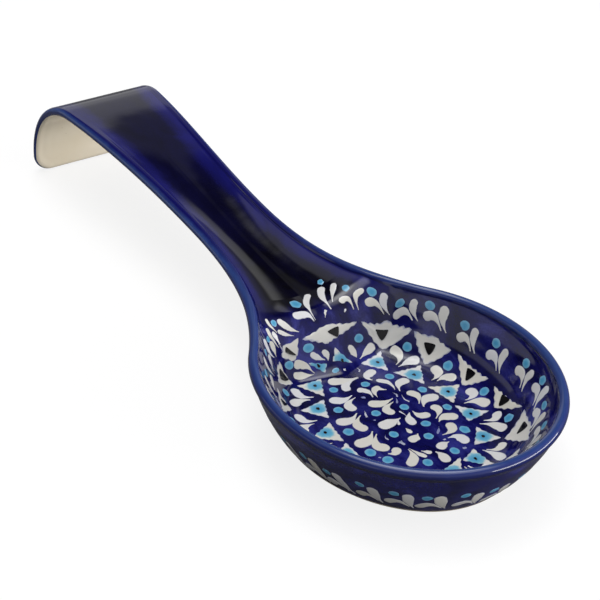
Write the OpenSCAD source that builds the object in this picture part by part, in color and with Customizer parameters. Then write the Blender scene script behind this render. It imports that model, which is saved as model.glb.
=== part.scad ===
// Spoon rest in glazed stoneware: an oval dish with a broad strap handle.
// The origin is on the table, under the middle of the dish.
// +X runs out over the far rim, the handle lies along -X, and +Z is up.
// The clay body is a dish and a handle, luted together at the throat.
// The fired coats are thin shells that follow the clay.

/* [Dish] */
// Length from the middle of the dish to its far rim
dish_reach = 64; // [56:1:72]
// Width of the dish over its rim
dish_w = 108; // [92:1:130]
// Height of the rim above the table
rim_h = 30.5; // [26:0.5:34]
// Thickness of the rim and of the handle's edge
rim_t = 4; // [3.4:0.1:5.5]
// Thickness of the dish's floor
floor_t = 5; // [4:0.1:8]
// How far the outside wall draws in from the rim to the foot
foot_inset = 14.5; // [10:0.5:18]
// How far the inside wall draws in from the rim to the flat floor
floor_inset = 27; // [24:0.5:32]

/* [Handle] */
// Length from the middle of the dish to the lip's outer face
handle_reach = 270; // [240:1:300]
// Distance from the middle of the dish to the luted joint
throat_x = 72; // [70:1:80]
// Distance from the middle of the dish to the narrowest place
neck_x = 126; // [115:1:150]
// Width at the narrowest place
neck_w = 35.5; // [30:0.5:44]
// Height of the crest above the table
crest_h = 44; // [40:0.5:50]
// Radius of the bend from the crest down to the lip
bend_r = 37; // [28:0.5:39]
// Width of the lip
lip_w = 54; // [46:0.5:62]
// Radius of the lip's two lower corners
corner_r = 8; // [5:0.5:12]
// Depth of the trough in the handle at the throat
trough_d = 7; // [5:0.5:10]

/* [Coats] */
// Thickness of a fired coat
coat_t = 0.5; // [0.3:0.05:0.8]
// Height of the blue band on the outside of the rim
band_h = 4.6; // [4:0.1:7]
// Height of the bare clay above the table at the foot
bare_h = 1.6; // [1:0.1:3]

/* [Hidden] */

// Half the rim's thickness is the radius of its rounded top.
edge_r = rim_t / 2;
// Bend: where it starts on the crest, its length, and the whole unrolled length
bend_x = handle_reach - bend_r;
bend_len = PI * bend_r / 2;
handle_len = bend_x + bend_len + crest_h - bend_r;
// Plan of the throat: where the oval ends and the flare to the neck starts
flare_x_share = 0.63;
flare_x = flare_x_share * dish_reach;
flare_w = oval_w(-flare_x);
flare_slope = -dish_w / 2 * flare_x / pow(dish_reach, 2)
              / sqrt(1 - pow(flare_x_share, 2));
// Places on the midline: the end of the level floor, the end of its slope,
// the back of the foot, and the centre of the lip's fan of columns
floor_x = 0.6 * dish_reach;
slope_x = 0.98 * dish_reach;
foot_x = 0.78 * dish_reach;
fan_x = handle_len - lip_w / 2;
// Edge place behind the middle from which the dish's columns fan out
spread_x = 0.16 * dish_reach;
// Share by which the far wall leans out more than the side walls
lean_share = 0.286;
// Share of the outside wall's inset that runs straight; the rest is its curve
straight_share = 0.46;
// Limits on the wall's rows in the short columns of the throat
inner_reach_share = 0.92;
outer_reach_share = 0.95;
// How fast the trough dies out towards the crest
trough_power = 1.4;
// Place of the band's lower border on the handle's edge
band_in_share = 0.3;
band_down_share = 1.7;

// Columns along the half outline
throat_n = 9;
oval_n = 15;
rise_n = 12;
bend_n = 7;
corner_n = 4;
end_n = 2;

// Rows of the inside wall, as shares of the floor's inset and of the depth
wall_in_shares = [0, 0.1, 0.225, 0.36, 0.505, 0.66, 0.82, 1];
wall_down_shares = [0.1, 0.29, 0.52, 0.73, 0.875, 0.963, 0.994, 1];
// Rows of the trough, as shares of the way from the edge to the midline
trough_shares = [0.12, 0.2, 0.3, 0.41, 0.53, 0.65, 0.78, 0.9];
// Rows of the outside wall, as shares of the height down from the rim
outer_down_shares = [0.3, 0.45, 0.6, 0.76];
// Rows of the handle's underside, as shares of the way to the midline
under_shares = [0.1, 0.28, 0.5, 0.72, 0.95, 0.975];

function mix(a, b, t) = a + (b - a) * t;
function limit(t) = min(1, max(0, t));
function ease(t) = limit(t) * limit(t) * (3 - 2 * limit(t));
// Cubic from a to b over a run, with the two end slopes
function cubic(a, b, slope_a, slope_b, run, t) =
    a * (1 - t * t * (3 - 2 * t)) + b * t * t * (3 - 2 * t)
    + run * slope_a * t * pow(1 - t, 2) - run * slope_b * t * t * (1 - t);

// Half width of the plain oval at a place along it
function oval_w(s) = dish_w / 2 * sqrt(1 - pow(s / dish_reach, 2));
// Half width of the whole outline; s is the unrolled distance from the middle
function half_w(s) =
    s > -flare_x ? oval_w(s)
    : s > -neck_x
      ? cubic(flare_w, neck_w / 2, flare_slope, 0, neck_x - flare_x,
              (-s - flare_x) / (neck_x - flare_x))
      : mix(neck_w / 2, lip_w / 2, ease((-s - neck_x) / (handle_len - neck_x)));

// Spine of the handle's top edges: height and slope on the rise
function rise_t(s) = (-s - throat_x) / (bend_x - throat_x);
function rise_z(s) = mix(rim_h, crest_h, ease(rise_t(s)));
function rise_slope(s) =
    6 * limit(rise_t(s)) * (1 - limit(rise_t(s))) * (crest_h - rim_h)
    / (bend_x - throat_x);
// Angle of the bend at a place, and what runs straight down after it
function bend_a(s) = 90 * limit((-s - bend_x) / bend_len);
function drop(s) = max(0, -s - bend_x - bend_len);
function turn(s) = s > -bend_x ? -atan(rise_slope(s)) : bend_a(s);
function spine(s) =
    s > -bend_x ? [s, rise_z(s)]
    : [-bend_x - bend_r * sin(bend_a(s)),
       crest_h - bend_r * (1 - cos(bend_a(s))) - drop(s)];
// Point at s along, y across and h above the spine, square to it
function place(s, y, h) =
    [spine(s)[0] - h * sin(turn(s)), y, spine(s)[1] + h * cos(turn(s))];

// Depth of the trough below the edges, along the midline
function trough(s) =
    trough_d * pow(1 - limit((-s - throat_x) / (bend_x - throat_x)), trough_power);
// Depth of the top along the midline, through the dish and up the throat
function depth(s) =
    mix(rim_h - floor_t, trough(s), ease((-s - floor_x) / (slope_x - floor_x)));
// Share of the handle's own section in a column: 0 in the dish, 1 in the handle
function top_share(s) = ease((-s - floor_x) / (throat_x - floor_x));
function low_share(s) = ease((-s - foot_x) / (throat_x - foot_x));

// Inset of the outside wall, as a share, at a share of the way down it
function wall_curve(t) = mix(t * t, t, straight_share);
// Lean of the wall for a column, from how far forward its edge is
function lean(e) = 1 + lean_share * e[0] / norm(e);

// Profile of a column, from the midline on top, over the edge, to the midline
// below. Each point is [inset from the edge, height below the edge's top].
// e is the column's edge point and k its point on the midline.
function top_row(e, k, i) =
    let (run = norm(e - k), b = top_share(k[0]), wall = floor_inset - rim_t,
         m = trough_shares[i],
         dish_d = rim_t + wall * lean(e) * wall_in_shares[i],
         dish_h = (rim_h - floor_t) * wall_down_shares[i],
         strap_d = mix(edge_r, run, m),
         strap_h = depth(k[0]) * (1 - pow(1 - m, 2)))
    [mix(min(dish_d, mix(rim_t, run, wall_in_shares[i] * inner_reach_share)),
         strap_d, b),
     -mix(dish_h * depth(k[0]) / (rim_h - floor_t), strap_h, b)];
function low_row(e, k, i) =
    let (run = norm(e - k), b = low_share(k[0]), j = i - 1,
         t = i == 0 ? band_h / rim_h
             : i < 5 ? outer_down_shares[j]
             : i == 5 ? 1 - bare_h / rim_h : 1,
         m = under_shares[max(0, j)],
         strap_d = i == 0 ? edge_r * band_in_share : mix(edge_r, run, m),
         strap_h = i == 0 ? edge_r * band_down_share
             : rim_t + trough(min(k[0], -throat_x)) * (1 - pow(1 - m, 2)))
    [mix(min(foot_inset * lean(e), run * outer_reach_share) * wall_curve(t), strap_d, b),
     -mix(rim_h * t, strap_h, b)];
function cap_row(a, b) =
    [edge_r * (1 + sin(a)), -edge_r * (1 - cos(a)) * (a > 0 ? 1 - b : 1)];
function profile(e, k) =
    let (run = norm(e - k), b = top_share(k[0]), c = low_share(k[0]),
         low_h = mix(rim_h, rim_t + trough(min(k[0], -throat_x)), c))
    [[run, -depth(k[0])],
     for (i = [top_n - 1:-1:0]) top_row(e, k, i),
     cap_row(45, b), cap_row(0, b), cap_row(-45, b), cap_row(-90, b),
     for (i = [0:low_n - 1]) low_row(e, k, i),
     [run, -low_h]];
top_n = len(wall_in_shares);
low_n = len(under_shares) + 1;
row_n = top_n + low_n + 6;
// Rows where the coats end: the inner crease, the band's foot, the bare foot
crease_row = top_n;
band_row = top_n + 5;
foot_row = top_n + 10;

// A profile moved inwards by a list of thicknesses, one for each row
function inward(p, t) =
    [for (i = [0:len(p) - 1])
        let (a = p[max(0, i - 1)], b = p[min(len(p) - 1, i + 1)],
             v = (b - a) / norm(b - a),
             n = i == 0 ? [0, -1] : i == len(p) - 1 ? [0, 1] : [-v[1], v[0]])
        p[i] + t[i] * n];
// A profile set in place for its column
function set(e, k, p) =
    [for (q = p)
        let (f = q[0] / norm(e - k), s = mix(e[0], k[0], f))
        place(s, mix(e[1], k[1], f), q[1])];

// Edge points of half an outline, from the throat: the dish's half with y above
// zero and the handle's with y below it, so that both run the same way round
function mid_s(s) = let (run = throat_x - spread_x)
    cubic(-throat_x, 0, 1, 0, run, limit((s + throat_x) / run));
oval_a0 = acos(-flare_x_share);
dish_half = [
    for (i = [0:throat_n - 1])
        let (s = mix(-throat_x, -flare_x, i / throat_n)) [s, half_w(s)],
    for (i = [0:oval_n])
        let (a = oval_a0 * (1 - i / oval_n))
        [dish_reach * cos(a), dish_w / 2 * sin(a)]];
dish_mid = [for (e = dish_half) [mid_s(e[0]), 0]];
corner_s = -handle_len + corner_r;
handle_half = [
    for (i = [0:rise_n - 1])
        let (s = mix(-throat_x, -bend_x, i / rise_n)) [s, -half_w(s)],
    for (i = [0:bend_n - 1])
        let (s = mix(-bend_x, corner_s, i / bend_n)) [s, -half_w(s)],
    for (i = [0:corner_n])
        let (a = 90 * i / corner_n)
        [corner_s - corner_r * sin(a),
         -half_w(corner_s) + corner_r * (1 - cos(a))],
    for (i = [1:end_n])
        [-handle_len, (corner_r - half_w(corner_s)) * (1 - i / end_n)]];
handle_mid = [for (e = handle_half) [max(e[0], -fan_x), 0]];
corner_col = rise_n + bend_n;

// A half outline and its mirror image, joined at the middle column
function mirrored(half) =
    [for (e = half) e,
     for (i = [len(half) - 2:-1:0]) [half[i][0], -half[i][1]]];
dish_e = mirrored(dish_half);
dish_k = mirrored(dish_mid);
handle_e = mirrored(handle_half);
handle_k = mirrored(handle_mid);

// Thickness of coat over each row of a column
function dish_coats() = [for (i = [0:row_n - 1]) i <= foot_row ? coat_t : 0];
function handle_coats(bare) =
    [for (i = [0:row_n - 1]) bare && i > crease_row && i < band_row ? 0 : coat_t];
// Columns of the coated surface and of the clay under it
function outer(e, k) = [for (j = [0:len(e) - 1]) set(e[j], k[j], profile(e[j], k[j]))];
dish_outer = outer(dish_e, dish_k);
dish_clay = [for (j = [0:len(dish_e) - 1])
    set(dish_e[j], dish_k[j], inward(profile(dish_e[j], dish_k[j]), dish_coats()))];
handle_outer = outer(handle_e, handle_k);
handle_n = len(handle_e);
function at_end(j) = min(j, handle_n - 1 - j) > corner_col;
handle_clay = [for (j = [0:handle_n - 1])
    set(handle_e[j], handle_k[j],
        inward(profile(handle_e[j], handle_k[j]), handle_coats(at_end(j))))];

// Rows a to b of a column, in either direction
function rows(col, a, b) = [for (i = [a:(b > a ? 1 : -1):b]) col[i]];

function same(a, b) = norm(a - b) == 0;
// Two triangles of a patch, split along the shorter diagonal so that faces that
// touch are split alike, less any triangle that has shrunk to a line
function patch(p, a, b, c, d) =
    norm(p[a] - p[c]) <= norm(p[b] - p[d])
    ? [if (a != b && b != c && a != c) [a, b, c],
       if (a != c && c != d && a != d) [a, c, d]]
    : [if (a != b && b != d && a != d) [a, b, d],
       if (b != c && c != d && b != d) [b, c, d]];
// Solid whose columns all start and end on the midline
module fanned(cols) {
    n = len(cols);
    m = len(cols[0]);
    half = (n - 1) / 2;
    shared = [for (j = [0:half]) if (j == 0 || !same(cols[j][0], cols[j - 1][0])) j];
    mid_n = len(shared);
    function mid(j) = min(j, n - 1 - j, mid_n - 1);
    function id(j, r) =
        r == 0 ? mid(j)
        : r == m - 1 ? mid_n + mid(j)
        : 2 * mid_n + j * (m - 2) + r - 1;
    points = [for (j = shared) cols[j][0],
              for (j = shared) cols[j][m - 1],
              for (c = cols) each rows(c, 1, m - 2)];
    faces = [for (j = [0:n - 2], r = [0:m - 2])
                 each patch(points, id(j, r), id(j, r + 1),
                            id(j + 1, r + 1), id(j + 1, r)),
             [for (r = [m - 1:-1:0]) id(0, r), for (r = [1:m - 2]) id(n - 1, r)]];
    polyhedron(points, faces, convexity = 6);
}
// Solid whose columns are closed loops clear of the midline
module looped(cols) {
    n = len(cols);
    m = len(cols[0]);
    function id(j, r) = j * m + r % m;
    points = [for (c = cols) each c];
    faces = [[for (r = [m - 1:-1:0]) id(0, r)],
             [for (r = [0:m - 1]) id(n - 1, r)],
             for (j = [0:n - 2], r = [0:m - 1])
                 each patch(points, id(j, r), id(j, r + 1),
                            id(j + 1, r + 1), id(j + 1, r))];
    polyhedron(points, faces, convexity = 6);
}
// Loop of a coat that lies over rows a to b
function coat(outside, clay, a, b) =
    [for (j = [0:len(outside) - 1])
        [each rows(outside[j], a, b), each rows(clay[j], b, a)]];

module dish() {
    color("#d8ccb6") fanned(dish_clay);
}
module handle() {
    color("#d8ccb6") fanned(handle_clay);
}
module dish_lining() {
    color("#3f4fa0") fanned(coat(dish_outer, dish_clay, 0, crease_row));
}
module handle_coat() {
    color("#14123c") fanned(coat(handle_outer, handle_clay, 0, crease_row));
}
module rim_band() {
    side = [for (j = [corner_col:-1:0]) handle_n - 1 - j];
    far_side = [for (j = [0:corner_col]) j];
    whole = coat(dish_outer, dish_clay, crease_row, band_row);
    strap = coat(handle_outer, handle_clay, crease_row, band_row);
    inner = [for (j = [1:len(whole) - 2]) whole[j]];
    color("#2f4a8c")
        looped([for (j = side) strap[j], each inner, for (j = far_side) strap[j]]);
}
module outside_coat() {
    color("#24245e") looped(coat(dish_outer, dish_clay, band_row, foot_row));
}
module underside_coat() {
    color("#e4dccb")
        fanned([for (j = [0:handle_n - 1])
            [each rows(handle_clay[j], row_n - 1, band_row),
             each rows(handle_outer[j], band_row, row_n - 1)]]);
}

dish();
handle();
dish_lining();
handle_coat();
rim_band();
outside_coat();
underside_coat();
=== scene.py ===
"""Spoon rest in hand-stamped, glazed stoneware, dressed on its CAD frame.

The same named sizes and sections as the CAD model's give finer clay, coats and
brushwork, all in metres and in the model's own frame.
"""
import math

import bmesh
import bpy
import numpy as np
from mathutils import Matrix, Vector


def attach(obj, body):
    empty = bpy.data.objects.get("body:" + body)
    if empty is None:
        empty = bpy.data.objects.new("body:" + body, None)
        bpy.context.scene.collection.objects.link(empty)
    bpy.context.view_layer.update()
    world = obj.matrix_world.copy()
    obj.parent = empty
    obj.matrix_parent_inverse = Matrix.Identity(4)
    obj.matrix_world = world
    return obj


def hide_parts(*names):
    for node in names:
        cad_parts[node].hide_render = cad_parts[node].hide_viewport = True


bl_info = {
    "name": "Stoneware spoon rest",
    "version": (1, 0, 0),
    "blender": (4, 5, 0),
    "location": "View3D > Sidebar > Spoon rest",
    "description": "Oval dish and strap handle with stamped cobalt decoration",
    "category": "Add Mesh",
}

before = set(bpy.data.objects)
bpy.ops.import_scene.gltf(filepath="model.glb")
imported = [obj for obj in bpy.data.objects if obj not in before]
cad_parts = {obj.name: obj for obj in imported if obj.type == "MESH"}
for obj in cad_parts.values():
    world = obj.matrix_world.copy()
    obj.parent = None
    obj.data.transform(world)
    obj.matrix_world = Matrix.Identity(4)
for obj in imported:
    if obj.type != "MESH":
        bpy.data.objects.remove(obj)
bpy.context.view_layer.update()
MM = 0.001
# Keeps a division by a length of nought harmless
TINY = 1e-12

# Shares of the form, as in the CAD model
FLARE_SHARE = 0.63
FLOOR_SHARE = 0.6
SLOPE_SHARE = 0.98
FOOT_SHARE = 0.78
SPREAD_SHARE = 0.16
LEAN_SHARE = 0.286
STRAIGHT_SHARE = 0.46
INNER_REACH_SHARE = 0.92
OUTER_REACH_SHARE = 0.95
TROUGH_POWER = 1.4
BAND_IN_SHARE = 0.3
BAND_DOWN_SHARE = 1.7
WALL_IN_SHARES = np.array([0, 0.1, 0.225, 0.36, 0.505, 0.66, 0.82, 1])
WALL_DOWN_SHARES = np.array([0.1, 0.29, 0.52, 0.73, 0.875, 0.963, 0.994, 1])
TROUGH_SHARES = np.array([0.12, 0.2, 0.3, 0.41, 0.53, 0.65, 0.78, 0.9])
OUTER_DOWN_SHARES = np.array([0.3, 0.45, 0.6, 0.76])
UNDER_SHARES = np.array([0.1, 0.28, 0.5, 0.72, 0.95, 0.975])
# Turns of the rim's round section from the crease outwards, in degrees
CAP_TURNS = (45, 0, -45, -90)
# Places of the rows that the CAD model doesn't have: on the floor, and above and
# behind the foot's corner, there first on the dish and then under the handle
FLOOR_ROW_SHARE = 0.4
ABOVE_FOOT_SHARES = (0.8, 0.5)
BEHIND_FOOT_SHARES = (0.015, 0.33)
FAR_BEHIND_FOOT_SHARES = (0.03, 0.66)

# Rows of a section, counted from the midline on top, over the rim, to the midline
# below: one row more than the CAD model's on the floor, and two round the foot.
# RIM_ROW is the last one that faces up.
CREASE_ROW = 9
RIM_ROW = 12
BAND_ROW = 14
FOOT_ROW = 19
LAST_ROW = 23
# Columns along half the outline, from the throat to the end of each part
FLARE_COLUMNS = 9
OVAL_COLUMNS = 15
STRAP_COLUMNS = 12
BEND_COLUMNS = 7
CORNER_COLUMNS = 3
END_COLUMNS = 2
# Fine steps between two rows and between two columns
ROW_STEPS = 6
COLUMN_STEPS = 7


def linear(hex_colour):
    """An sRGB hex colour as linear red, green, blue and alpha."""
    parts = [int(hex_colour[i:i + 2], 16) / 255 for i in (1, 3, 5)]
    return tuple(c / 12.92 if c <= 0.04045 else ((c + 0.055) / 1.055) ** 2.4
                 for c in parts) + (1.0,)


def mix(a, b, t):
    return a + (b - a) * t


def ease(t):
    """A share that starts and ends gently."""
    t = np.clip(t, 0, 1)
    return t * t * (3 - 2 * t)


def length_of(v):
    return np.sqrt((v * v).sum(-1))


class Form:
    """The spoon rest's surfaces. s runs along the unrolled midline, y across it."""

    def __init__(self, p):
        self.p = p
        self.edge_r = p.rim_t / 2
        self.bend_x = p.handle_reach - p.bend_r
        self.bend_len = math.pi * p.bend_r / 2
        self.run_len = self.bend_x + self.bend_len + p.crest_h - p.bend_r
        self.flare_x = FLARE_SHARE * p.dish_reach
        chord = math.sqrt(1 - FLARE_SHARE ** 2)
        self.flare_w = p.dish_w / 2 * chord
        self.flare_slope = -p.dish_w / 2 * self.flare_x / p.dish_reach ** 2 / chord
        self.floor_x = FLOOR_SHARE * p.dish_reach
        self.slope_x = SLOPE_SHARE * p.dish_reach
        self.foot_x = FOOT_SHARE * p.dish_reach
        self.spread_x = SPREAD_SHARE * p.dish_reach
        self.fan_x = self.run_len - p.lip_w / 2

    def half_w(self, s):
        """Half the width of the outline."""
        p = self.p
        oval = p.dish_w / 2 * np.sqrt(np.clip(1 - (s / p.dish_reach) ** 2, 0, 1))
        run = p.neck_x - self.flare_x
        t = np.clip((-s - self.flare_x) / run, 0, 1)
        rise = ease(t)
        flare = (self.flare_w * (1 - rise) + p.neck_w / 2 * rise
                 + run * self.flare_slope * t * (1 - t) ** 2)
        strap = mix(p.neck_w / 2, p.lip_w / 2,
                    ease((-s - p.neck_x) / (self.run_len - p.neck_x)))
        return np.where(s > -self.flare_x, oval, np.where(s > -p.neck_x, flare, strap))

    def rise_t(self, s):
        return np.clip((-s - self.p.throat_x) / (self.bend_x - self.p.throat_x), 0, 1)

    def bend_a(self, s):
        return np.clip((-s - self.bend_x) / self.bend_len, 0, 1) * math.pi / 2

    def place(self, s, y, h):
        """Points at s along the spine, y across it and h above it, square to it."""
        p = self.p
        t = self.rise_t(s)
        slope = 6 * t * (1 - t) * (p.crest_h - p.rim_h) / (self.bend_x - p.throat_x)
        bend = self.bend_a(s)
        drop = np.maximum(0, -s - self.bend_x - self.bend_len)
        dish_side = s > -self.bend_x
        turn = np.where(dish_side, -np.arctan(slope), bend)
        x = np.where(dish_side, s, -self.bend_x - p.bend_r * np.sin(bend))
        z = np.where(dish_side, mix(p.rim_h, p.crest_h, ease(t)),
                     p.crest_h - p.bend_r * (1 - np.cos(bend)) - drop)
        return np.stack([x - h * np.sin(turn), y + 0 * x, z + h * np.cos(turn)], -1)

    def trough(self, s):
        return self.p.trough_d * (1 - self.rise_t(s)) ** TROUGH_POWER

    def sections(self, e, k):
        """Rows of each column from its edge point e to its midline point k.

        Every row is an inset from the edge and a height over the edge's top.
        """
        p = self.p
        r = self.edge_r
        run = length_of(e - k)[:, None]
        ks = k[:, :1]
        top = ease((-ks - self.floor_x) / (p.throat_x - self.floor_x))
        low = ease((-ks - self.foot_x) / (p.throat_x - self.foot_x))
        lean = 1 + LEAN_SHARE * e[:, :1] / length_of(e)[:, None]
        deep = mix(p.rim_h - p.floor_t, self.trough(ks),
                   ease((-ks - self.floor_x) / (self.slope_x - self.floor_x)))
        wall = p.floor_inset - p.rim_t
        dish_d = np.minimum(p.rim_t + wall * lean * WALL_IN_SHARES,
                            mix(p.rim_t, run, WALL_IN_SHARES * INNER_REACH_SHARE))
        top_d = mix(dish_d, mix(r, run, TROUGH_SHARES), top)
        top_h = -mix(WALL_DOWN_SHARES * deep,
                     deep * (1 - (1 - TROUGH_SHARES) ** 2), top)
        cap = np.radians(CAP_TURNS)
        cap_d = r * (1 + np.sin(cap)) + 0 * run
        cap_h = -r * (1 - np.cos(cap)) * np.where(cap > 0, 1 - top, 1)
        down = np.array([p.band_h / p.rim_h, *OUTER_DOWN_SHARES, 1 - p.bare_h / p.rim_h, 1])
        belly = self.trough(np.minimum(ks, -p.throat_x))
        under_d = np.hstack([0 * run + r * BAND_IN_SHARE, mix(r, run, UNDER_SHARES)])
        under_h = np.hstack([0 * run + r * BAND_DOWN_SHARE,
                             p.rim_t + belly * (1 - (1 - UNDER_SHARES) ** 2)])
        outer_d = (np.minimum(p.foot_inset * lean, run * OUTER_REACH_SHARE)
                   * mix(down * down, down, STRAIGHT_SHARE))
        low_d = mix(outer_d, under_d, low)
        low_h = -mix(p.rim_h * down, under_h, low)
        mid_h = -mix(p.rim_h, p.rim_t + belly, low)
        above = mix(*ABOVE_FOOT_SHARES, low)
        behind = mix(*BEHIND_FOOT_SHARES, low)
        far_behind = mix(*FAR_BEHIND_FOOT_SHARES, low)

        def whole(middle, top_rows, cap_rows, low_rows, under_middle):
            foot = low_rows[:, -1:]
            return np.hstack([
                middle, mix(top_rows[:, -1:], middle, FLOOR_ROW_SHARE), top_rows[:, ::-1],
                cap_rows, low_rows[:, :-1], mix(low_rows[:, -2:-1], foot, above),
                mix(foot, under_middle, behind), mix(foot, under_middle, far_behind),
                under_middle])

        return np.stack([whole(run, top_d, cap_d, low_d, run),
                         whole(-deep, top_h, cap_h, low_h, mid_h)], -1)

    def dish_columns(self):
        """Edge and midline points of the dish, from the throat round and back."""
        p = self.p
        n = FLARE_COLUMNS * COLUMN_STEPS
        s = mix(-p.throat_x, -self.flare_x, np.arange(n) / n)
        m = OVAL_COLUMNS * COLUMN_STEPS
        a = math.acos(-FLARE_SHARE) * (1 - np.arange(m + 1) / m)
        e = np.vstack([np.stack([s, self.half_w(s)], -1),
                       np.stack([p.dish_reach * np.cos(a), p.dish_w / 2 * np.sin(a)], -1)])
        run = p.throat_x - self.spread_x
        t = np.clip((e[:, 0] + p.throat_x) / run, 0, 1)
        mid = -p.throat_x * (1 - ease(t)) + run * t * (1 - t) ** 2
        return self.mirrored(e, np.stack([mid, 0 * mid], -1))

    def handle_columns(self):
        """Edge and midline points of the handle, from the throat round and back."""
        p = self.p
        corner_s = -self.run_len + p.corner_r
        n = STRAP_COLUMNS * COLUMN_STEPS
        m = BEND_COLUMNS * COLUMN_STEPS
        s = np.concatenate([mix(-p.throat_x, -self.bend_x, np.arange(n) / n),
                            mix(-self.bend_x, corner_s, np.arange(m) / m)])
        a = np.linspace(0, math.pi / 2, CORNER_COLUMNS * COLUMN_STEPS + 1)
        w = float(self.half_w(np.array(corner_s)))
        end = END_COLUMNS * COLUMN_STEPS
        q = np.arange(1, end + 1) / end
        e = np.vstack([np.stack([s, -self.half_w(s)], -1),
                       np.stack([corner_s - p.corner_r * np.sin(a),
                                 p.corner_r * (1 - np.cos(a)) - w], -1),
                       np.stack([-self.run_len + 0 * q, (p.corner_r - w) * (1 - q)], -1)])
        k = np.stack([np.maximum(e[:, 0], -self.fan_x), 0 * e[:, 0]], -1)
        return self.mirrored(e, k)

    @staticmethod
    def mirrored(e, k):
        """A half outline and its mirror image, joined at the middle column."""
        return (np.vstack([e, e[-2::-1] * [1, -1]]), np.vstack([k, k[-2::-1]]))

    def set_out(self, e, k, rows):
        """Rows of inset and height put in place for their columns."""
        f = (rows[..., 0] / length_of(e - k)[:, None])[..., None]
        flat = mix(e[:, None, :], k[:, None, :], f)
        points = self.place(flat[..., 0], flat[..., 1], rows[..., 1])
        points[..., 2] = np.maximum(points[..., 2], 0)
        return points


def smoothed(rows, steps):
    """Rows with smooth curves put in between them, through every row."""
    gap = np.diff(rows, axis=1)
    run = length_of(gap)[..., None] + TINY
    way = gap / run
    slope = np.empty_like(rows)
    slope[:, 1:-1] = ((way[:, 1:] * run[:, :-1] + way[:, :-1] * run[:, 1:])
                      / (run[:, :-1] + run[:, 1:]))
    slope[:, 0] = way[:, 0]
    slope[:, -1] = way[:, -1]
    fine = []
    for i in range(steps):
        t = i / steps
        rise = ease(t)
        fine.append(rows[:, :-1] * (1 - rise) + rows[:, 1:] * rise
                    + run * (slope[:, :-1] * t * (1 - t) ** 2
                             - slope[:, 1:] * t * t * (1 - t)))
    fine = np.stack(fine, 2).reshape(len(rows), -1, 2)
    return np.concatenate([fine, rows[:, -1:]], 1)


def inward(rows, coat):
    """Rows moved into the clay by a coat's thickness, one for each row."""
    ahead = np.concatenate([rows[:, 1:], rows[:, -1:]], 1)
    back = np.concatenate([rows[:, :1], rows[:, :-1]], 1)
    way = ahead - back
    way /= length_of(way)[..., None] + TINY
    normal = np.stack([-way[..., 1], way[..., 0]], -1)
    normal[:, 0] = (0, -1)
    normal[:, -1] = (0, 1)
    return rows + normal * coat[..., None]


def run_along(rows):
    """The way along each row of places, from its first place."""
    steps = length_of(np.diff(rows, axis=1))
    return np.concatenate([np.zeros((len(rows), 1)), np.cumsum(steps, 1)], 1)


class Skins:
    """Fine grids of the coated surface and of the clay under it."""

    # Columns of the handle from the throat to the end of the lip's corner
    SIDE = (STRAP_COLUMNS + BEND_COLUMNS + CORNER_COLUMNS) * COLUMN_STEPS

    def __init__(self, form):
        row = np.arange(LAST_ROW * ROW_STEPS + 1)
        self.grids = {}
        for part in ("dish", "handle"):
            e, k = form.dish_columns() if part == "dish" else form.handle_columns()
            rows = smoothed(form.sections(e, k), ROW_STEPS)
            coat = np.full(rows.shape[:2], form.p.coat_t)
            if part == "dish":
                coat[:, row > FOOT_ROW * ROW_STEPS] = 0
            else:
                column = np.arange(len(e))
                at_end = np.minimum(column, len(e) - 1 - column) > self.SIDE
                bare = (row > CREASE_ROW * ROW_STEPS) & (row < BAND_ROW * ROW_STEPS)
                coat[np.ix_(at_end, bare)] = 0
            self.grids[part] = {
                "arc": run_along(rows),
                "outer": form.set_out(e, k, rows),
                "clay": form.set_out(e, k, inward(rows, coat)),
            }


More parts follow.
